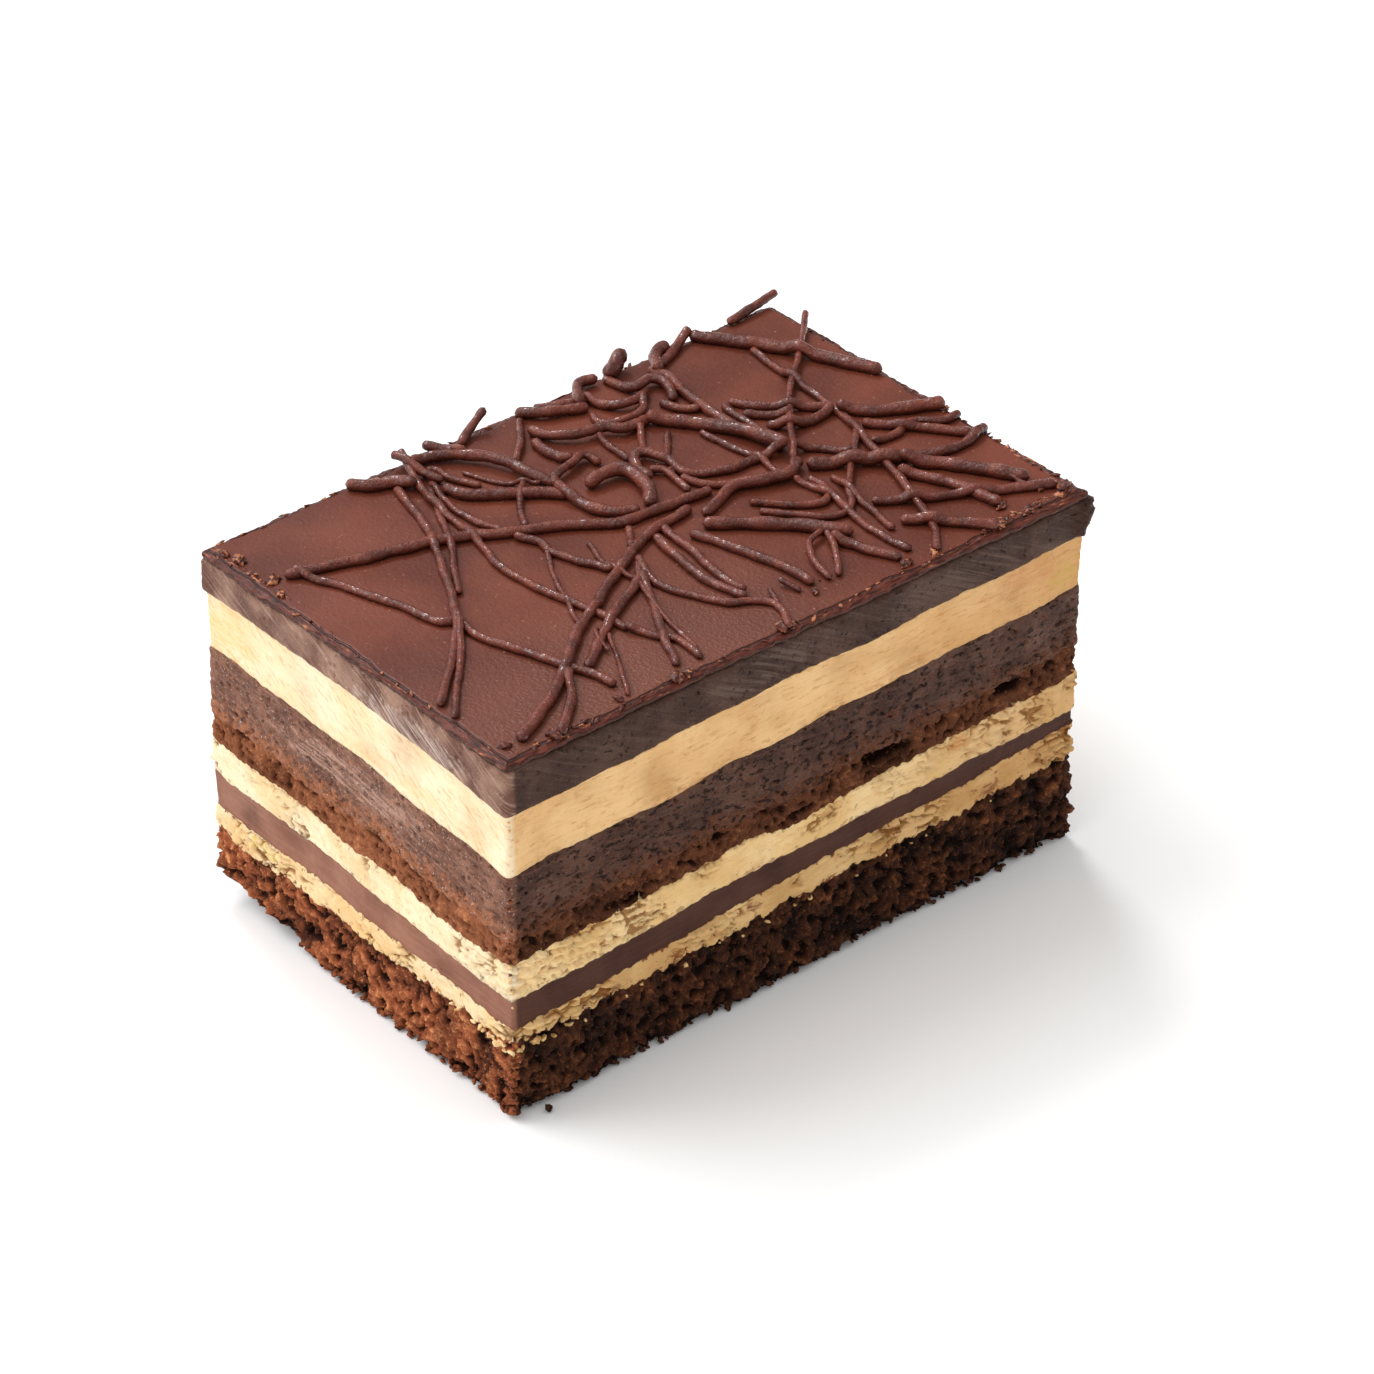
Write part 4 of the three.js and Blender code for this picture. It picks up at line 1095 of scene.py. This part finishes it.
def rod(bm, line, radius, seed):
    """A round, slightly uneven rod along a line, with rounded ends."""
    underside_shade_layer = bm.verts.layers.float["under"]
    before = len(bm.verts)
    ringed_can(bm, STRAND_SIDES, len(line) - 1)
    bm.verts.ensure_lookup_table()
    travelled = [0.0]
    for first, second in zip(line, line[1:]):
        travelled.append(travelled[-1] + (second - first).length)
    for vert in bm.verts[before:]:
        ring = round((vert.co.z + 0.5) * (len(line) - 1))
        # Painted shade: marks the underside of each rod for darkening.
        vert[underside_shade_layer] = smooth_step(vert.co.y, 0.3, -0.5)
        ahead = line[min(ring + 1, len(line) - 1)] - line[max(ring - 1, 0)]
        side = ahead.cross(Vector((0, 0, 1))).normalized()
        crown = side.cross(ahead).normalized()
        from_end = min(travelled[ring], travelled[-1] - travelled[ring])
        tip = math.sqrt(max(0.03, 1 - max(0.0, 1 - from_end / radius) ** 2))
        along = travelled[ring]
        slow = noise.noise(Vector((along / 2.6, seed, 0)))
        quick = noise.noise(Vector((along / 0.9, seed, 9)))
        thick = radius * (1 + 0.18 * slow + 0.10 * quick) * tip
        spot = line[ring] + Vector((0, 0, radius * (1 - STRAND_SUNK)))
        away = side * vert.co.x + crown * vert.co.y
        spot += away * thick
        vert.co = spot + away.normalized() * 0.05 * rough(spot, 0.55, 3, seed)


def drizzle_look(finish):
    """Set drizzle: darker and redder than the glaze, with small glints, and painted shade on its underside
    where it touches the glaze.
    """
    cloud = finish.noise(3.0, 3.0, 0.5)
    fine = finish.noise(0.34, 3.0, 0.6)
    warm = finish.noise(1.6, 2.0, 0.6, shift=6.0)
    colour = finish.blend(finish.span(cloud, 0.35, 0.65), shade(84, 36, 26), shade(114, 54, 40))
    colour = finish.blend(finish.span(warm, 0.56, 0.70) * 0.6, colour, shade(128, 62, 38))
    # Painted shade on the underside, where the strand touches the glaze.
    colour = finish.blend(finish.attribute("under") * 0.7, colour, shade(36, 14, 9))
    wet = finish.span(finish.noise(0.5, 3.0, 0.65, shift=12.0), 0.55, 0.61)
    finish.feed(finish.sockets["Coat Weight"], wet)
    finish.sockets["Coat Roughness"].default_value = 0.08
    finish.surface(colour, finish.span(fine, 0.3, 0.7, 0.34, 0.20), fine + 0.3 * warm, 0.15)


drizzle_finish = Finish("chocolate_drizzle", gloss=0.32)
drizzle_look(drizzle_finish)
laid = []
bm = mesh_with("under")
for number, (radius, *places) in enumerate(STRANDS):
    line = piped_line(places)
    if laid:
        line = arch_over(line, radius, laid)
    laid += [(spot, radius) for spot in line]
    rod(bm, line, radius, 1.7 * number)
cake_piece("piped_drizzle", bm, drizzle_finish, "top_glaze")

bm = mesh_with("under")
for number, (radius, *places) in enumerate(THREADS):
    rod(bm, arch_over(piped_line(places), radius, laid), radius, 200 + 1.7 * number)
cake_piece("drizzle_threads", bm, drizzle_finish, "top_glaze")


# The knife broke the glaze and the ends of the drizzle into chips and crumbs, which stayed along the
# edges: most of them where it cut through a strand, at the right front corner and the left back one.
# Each run has its start, its end, how many chips it has and their length.
CHIP_RUNS = (
    ((-38.6, -25.4), (-28, -25.6), 16, 0.55),
    ((-28, -25.8), (4, -25.8), 18, 0.45),
    ((4, -25.7), (29, -25.6), 24, 0.5),
    ((26, -25.2), (38.8, -24.8), 34, 0.75),
    ((39.2, -24.5), (39.6, -10), 22, 0.6),
    ((39.5, -10), (39.5, 25), 18, 0.4),
    ((-39.2, 25), (-38.4, 12), 26, 0.65),
    ((-39.4, 12), (-39.2, -25), 22, 0.4),
    ((-38, 25.8), (38, 25.8), 40, 0.5),
    ((2, 3), (10, 9), 16, 0.4),
    ((5, -22), (14, -16), 10, 0.35),
)
# Lumps where a strand was cut or broke: the place, the height above the glaze, the radius, and how
# much of its split face gets a painted orange-tan highlight.
LUMPS = (
    (-33.0, -25.4, 0.1, 0.8, 0.4), (-31.9, -25.7, -0.1, 0.55, 0.8), (-24.1, -24.8, 0.2, 0.5, 0.2),
    (-17.0, -25.6, 0.2, 0.8, 0.4), (-15.6, -25.4, 0.0, 0.6, 1.0), (-2.6, -25.5, 0.2, 0.8, 0.4),
    (-1.4, -25.4, 0.0, 0.6, 0.9), (4.4, -22.6, 0.2, 0.5, 0.2), (15.3, -24.8, 0.2, 0.7, 0.7),
    (18.9, -25.2, 0.0, 0.6, 1.0), (28.2, -25.4, 0.1, 0.8, 0.7), (30.6, -23.0, 0.2, 0.6, 0.3),
    (36.5, -22.6, 0.2, 0.85, 0.3), (38.4, -24.2, 0.2, 0.9, 0.3), (37.2, -25.3, 0.0, 0.6, 0.8),
    (39.4, -9.8, 0.1, 0.6, 0.6), (39.5, -4.0, 0.1, 0.5, 1.0), (-38.2, -23.9, 0.1, 0.6, 0.4),
    (-38.8, 13.6, 0.1, 0.6, 0.7), (-37.8, 16.2, 0.1, 0.75, 0.9), (-38.2, 21.8, 0.1, 0.8, 1.0),
    (-38.9, 24.0, 0.0, 0.8, 0.5), (6.2, 6.8, 0.4, 0.5, 1.0), (7.8, 5.2, 0.5, 0.5, 1.0),
    (9.4, 7.6, 0.4, 0.4, 1.0),
)
CHIP_SHAPE = ((1.0, 1.9), (0.3, 0.5), (0.25, 0.45))  # least and greatest length, width and height
CHIP_SUNK = 0.12  # how far a chip's middle lies below the top of the glaze
# That share of the chips carries the painted orange-tan highlight of a split face.
HIGHLIT_SHARE = 0.35  # share of the chips that are freshly split
draw = random.Random(5)


def crumb(bm, place, stretch, turn, split_highlight=0.0, detail=2):
    """A broken crumb: a ball with rough, uneven sides, stretched and turned."""
    fresh_layer = bm.verts.layers.float["split_highlight"]
    made = bmesh.ops.create_icosphere(bm, subdivisions=detail, radius=1)
    for vert in made["verts"]:
        reach = 1 + 0.6 * noise.noise(vert.co * 1.3 + place * 3) + 0.5 * noise.noise(vert.co * 3.2 + place)
        local = vert.co * reach
        vert[fresh_layer] = split_highlight
        vert.co = place + turn @ Vector((local.x * stretch[0], local.y * stretch[1], local.z * stretch[2]))


def broken_look(finish):
    """Broken chocolate: reddish brown, with orange-tan painted highlights on freshly split faces."""
    patch = finish.noise(0.6, 3.0, 0.6)
    colour = finish.blend(finish.span(patch, 0.38, 0.55), shade(58, 23, 15), shade(104, 50, 37))
    split = finish.span(patch + 0.15 * finish.attribute("split_highlight"), 0.60, 0.72)
    colour = finish.blend(split, colour, shade(184, 114, 74))
    fine = finish.noise(0.3, 2.0, 0.5)
    finish.surface(colour, finish.span(fine, 0.3, 0.7, 0.40, 0.20), fine, 0.12)


glaze_crumb_finish = Finish("broken_glaze", gloss=0.35)
broken_look(glaze_crumb_finish)
bm = mesh_with("split_highlight")
for (from_x, from_y), (to_x, to_y), count, size in CHIP_RUNS:
    along_edge = math.atan2(to_y - from_y, to_x - from_x)
    for number in range(count):
        share = (number + draw.random()) / count
        x = from_x + (to_x - from_x) * share + draw.uniform(-0.35, 0.35)
        y = from_y + (to_y - from_y) * share + draw.uniform(-0.35, 0.35)
        own = size * draw.uniform(0.4, 1.0)
        stretch = [own * draw.uniform(*limits) for limits in CHIP_SHAPE]
        turn = Matrix.Rotation(along_edge + draw.gauss(0, 0.5), 3, "Z")
        turn = turn @ Matrix.Rotation(draw.gauss(0, 0.35), 3, "Y")
        split_highlight = 1.0 if draw.random() < HIGHLIT_SHARE else 0.0
        crumb(bm, on_glaze(x, y, -CHIP_SUNK), stretch, turn, split_highlight)
for x, y, above, size, split_highlight in LUMPS:
    turn = Matrix.Rotation(draw.uniform(0, 3), 3, "Z")
    stretch = (1.15 * size, 0.75 * size, 0.65 * size)
    crumb(bm, on_glaze(x, y, above), stretch, turn, split_highlight, detail=3)
cake_piece("glaze_crumbs", bm, glaze_crumb_finish, "top_glaze")


# Crumbs of cream and of sponge stuck to the cut sides where the knife dragged them: along the lower
# line of the creams, on the near upright edge and round the foot. Two lie just in front of the slice.
# Each run has its start, its end, how many crumbs it has and their size.
CREAM_RUNS = (
    ((LEFT, -26.2, 8.8), (LEFT, -21.0, 9.1), 10, 0.55),
    ((LEFT, -20.0, 9.3), (LEFT, -4.0, 10.4), 9, 0.45),
    ((LEFT, 0.0, 10.3), (LEFT, 22.0, 9.0), 12, 0.45),
    ((-39.6, FRONT, 8.8), (-29.0, FRONT, 9.0), 12, 0.55),
    ((-28.0, FRONT, 9.2), (30.0, FRONT, 10.6), 14, 0.35),
    ((LEFT, FRONT, 15.0), (LEFT, FRONT, 20.0), 6, 0.35),
    ((-39.6, FRONT, 32.0), (-39.6, FRONT, 38.5), 6, 0.25),
)
SPONGE_RUNS = (
    ((-39.6, -26.0, 0.6), (-39.6, 12.0, 0.7), 46, 0.6),
    ((-39.6, -25.9, 0.6), (39.6, -25.9, 0.6), 70, 0.5),
    ((39.6, -26.0, 0.6), (39.6, 26.0, 0.6), 50, 0.5),
    ((-28, 25.9, 0.6), (39.6, 25.9, 0.6), 60, 0.5),
    ((LEFT, FRONT, 1.0), (LEFT, FRONT, 8.0), 16, 0.6),
    ((-36.4, -27.6, 0.5), (-36.0, -27.6, 0.5), 2, 0.55),
    ((LEFT, FRONT, 19.0), (LEFT, FRONT, 31.0), 18, 0.3),
)


def scatter(bm, runs):
    for start, end, count, size in runs:
        for number in range(count):
            place = Vector(start).lerp(Vector(end), (number + draw.random()) / count)
            place += Vector((draw.gauss(0, 0.12), draw.gauss(0, 0.12), draw.gauss(0, 0.3)))
            place.z = max(0.35, place.z) + corner_lift(place.x, place.y) * max(0.0, 1 - place.z / 4)
            own = size * draw.uniform(0.4, 1.0)
            stretch = (own, own * draw.uniform(0.5, 1.0), own * draw.uniform(0.4, 0.8))
            turn = Matrix.Rotation(draw.uniform(0, 6), 3, "Z") @ Matrix.Rotation(draw.gauss(0, 0.5), 3, "X")
            crumb(bm, place, stretch, turn)


def crumb_look(finish, front, left):
    """Loose crumbs: front and left each have their dark and pale shade, the left end's painted lighter as
    lit and the front's darker as painted shade.
    """
    patch = finish.noise(0.6, 3.0, 0.6)
    dark, pale = finish.by_lit_side(front, left)
    finish.surface(finish.blend(finish.span(patch, 0.35, 0.60), dark, pale), 0.7, patch, 0.15)


cream_crumb_finish = Finish("loose_cream", gloss=0.1, soft=0.1)
crumb_look(
    cream_crumb_finish,
    front=(shade(186, 138, 82), shade(228, 190, 132)),
    left=(shade(214, 166, 106), shade(242, 214, 164)),
)
sponge_crumb_finish = Finish("loose_sponge", gloss=0.16)
crumb_look(
    sponge_crumb_finish,
    front=(shade(30, 14, 8), shade(84, 46, 27)),
    left=(shade(62, 29, 16), shade(146, 80, 48)),
)
for name, runs, finish, slot, node in (
    ("cream_crumbs", CREAM_RUNS, cream_crumb_finish, "coffee_cream", "cream_low"),
    ("sponge_crumbs", SPONGE_RUNS, sponge_crumb_finish, "sponge", "sponge_base"),
):
    bm = mesh_with("split_highlight")
    scatter(bm, runs)
    cake_piece(name, bm, finish, node)
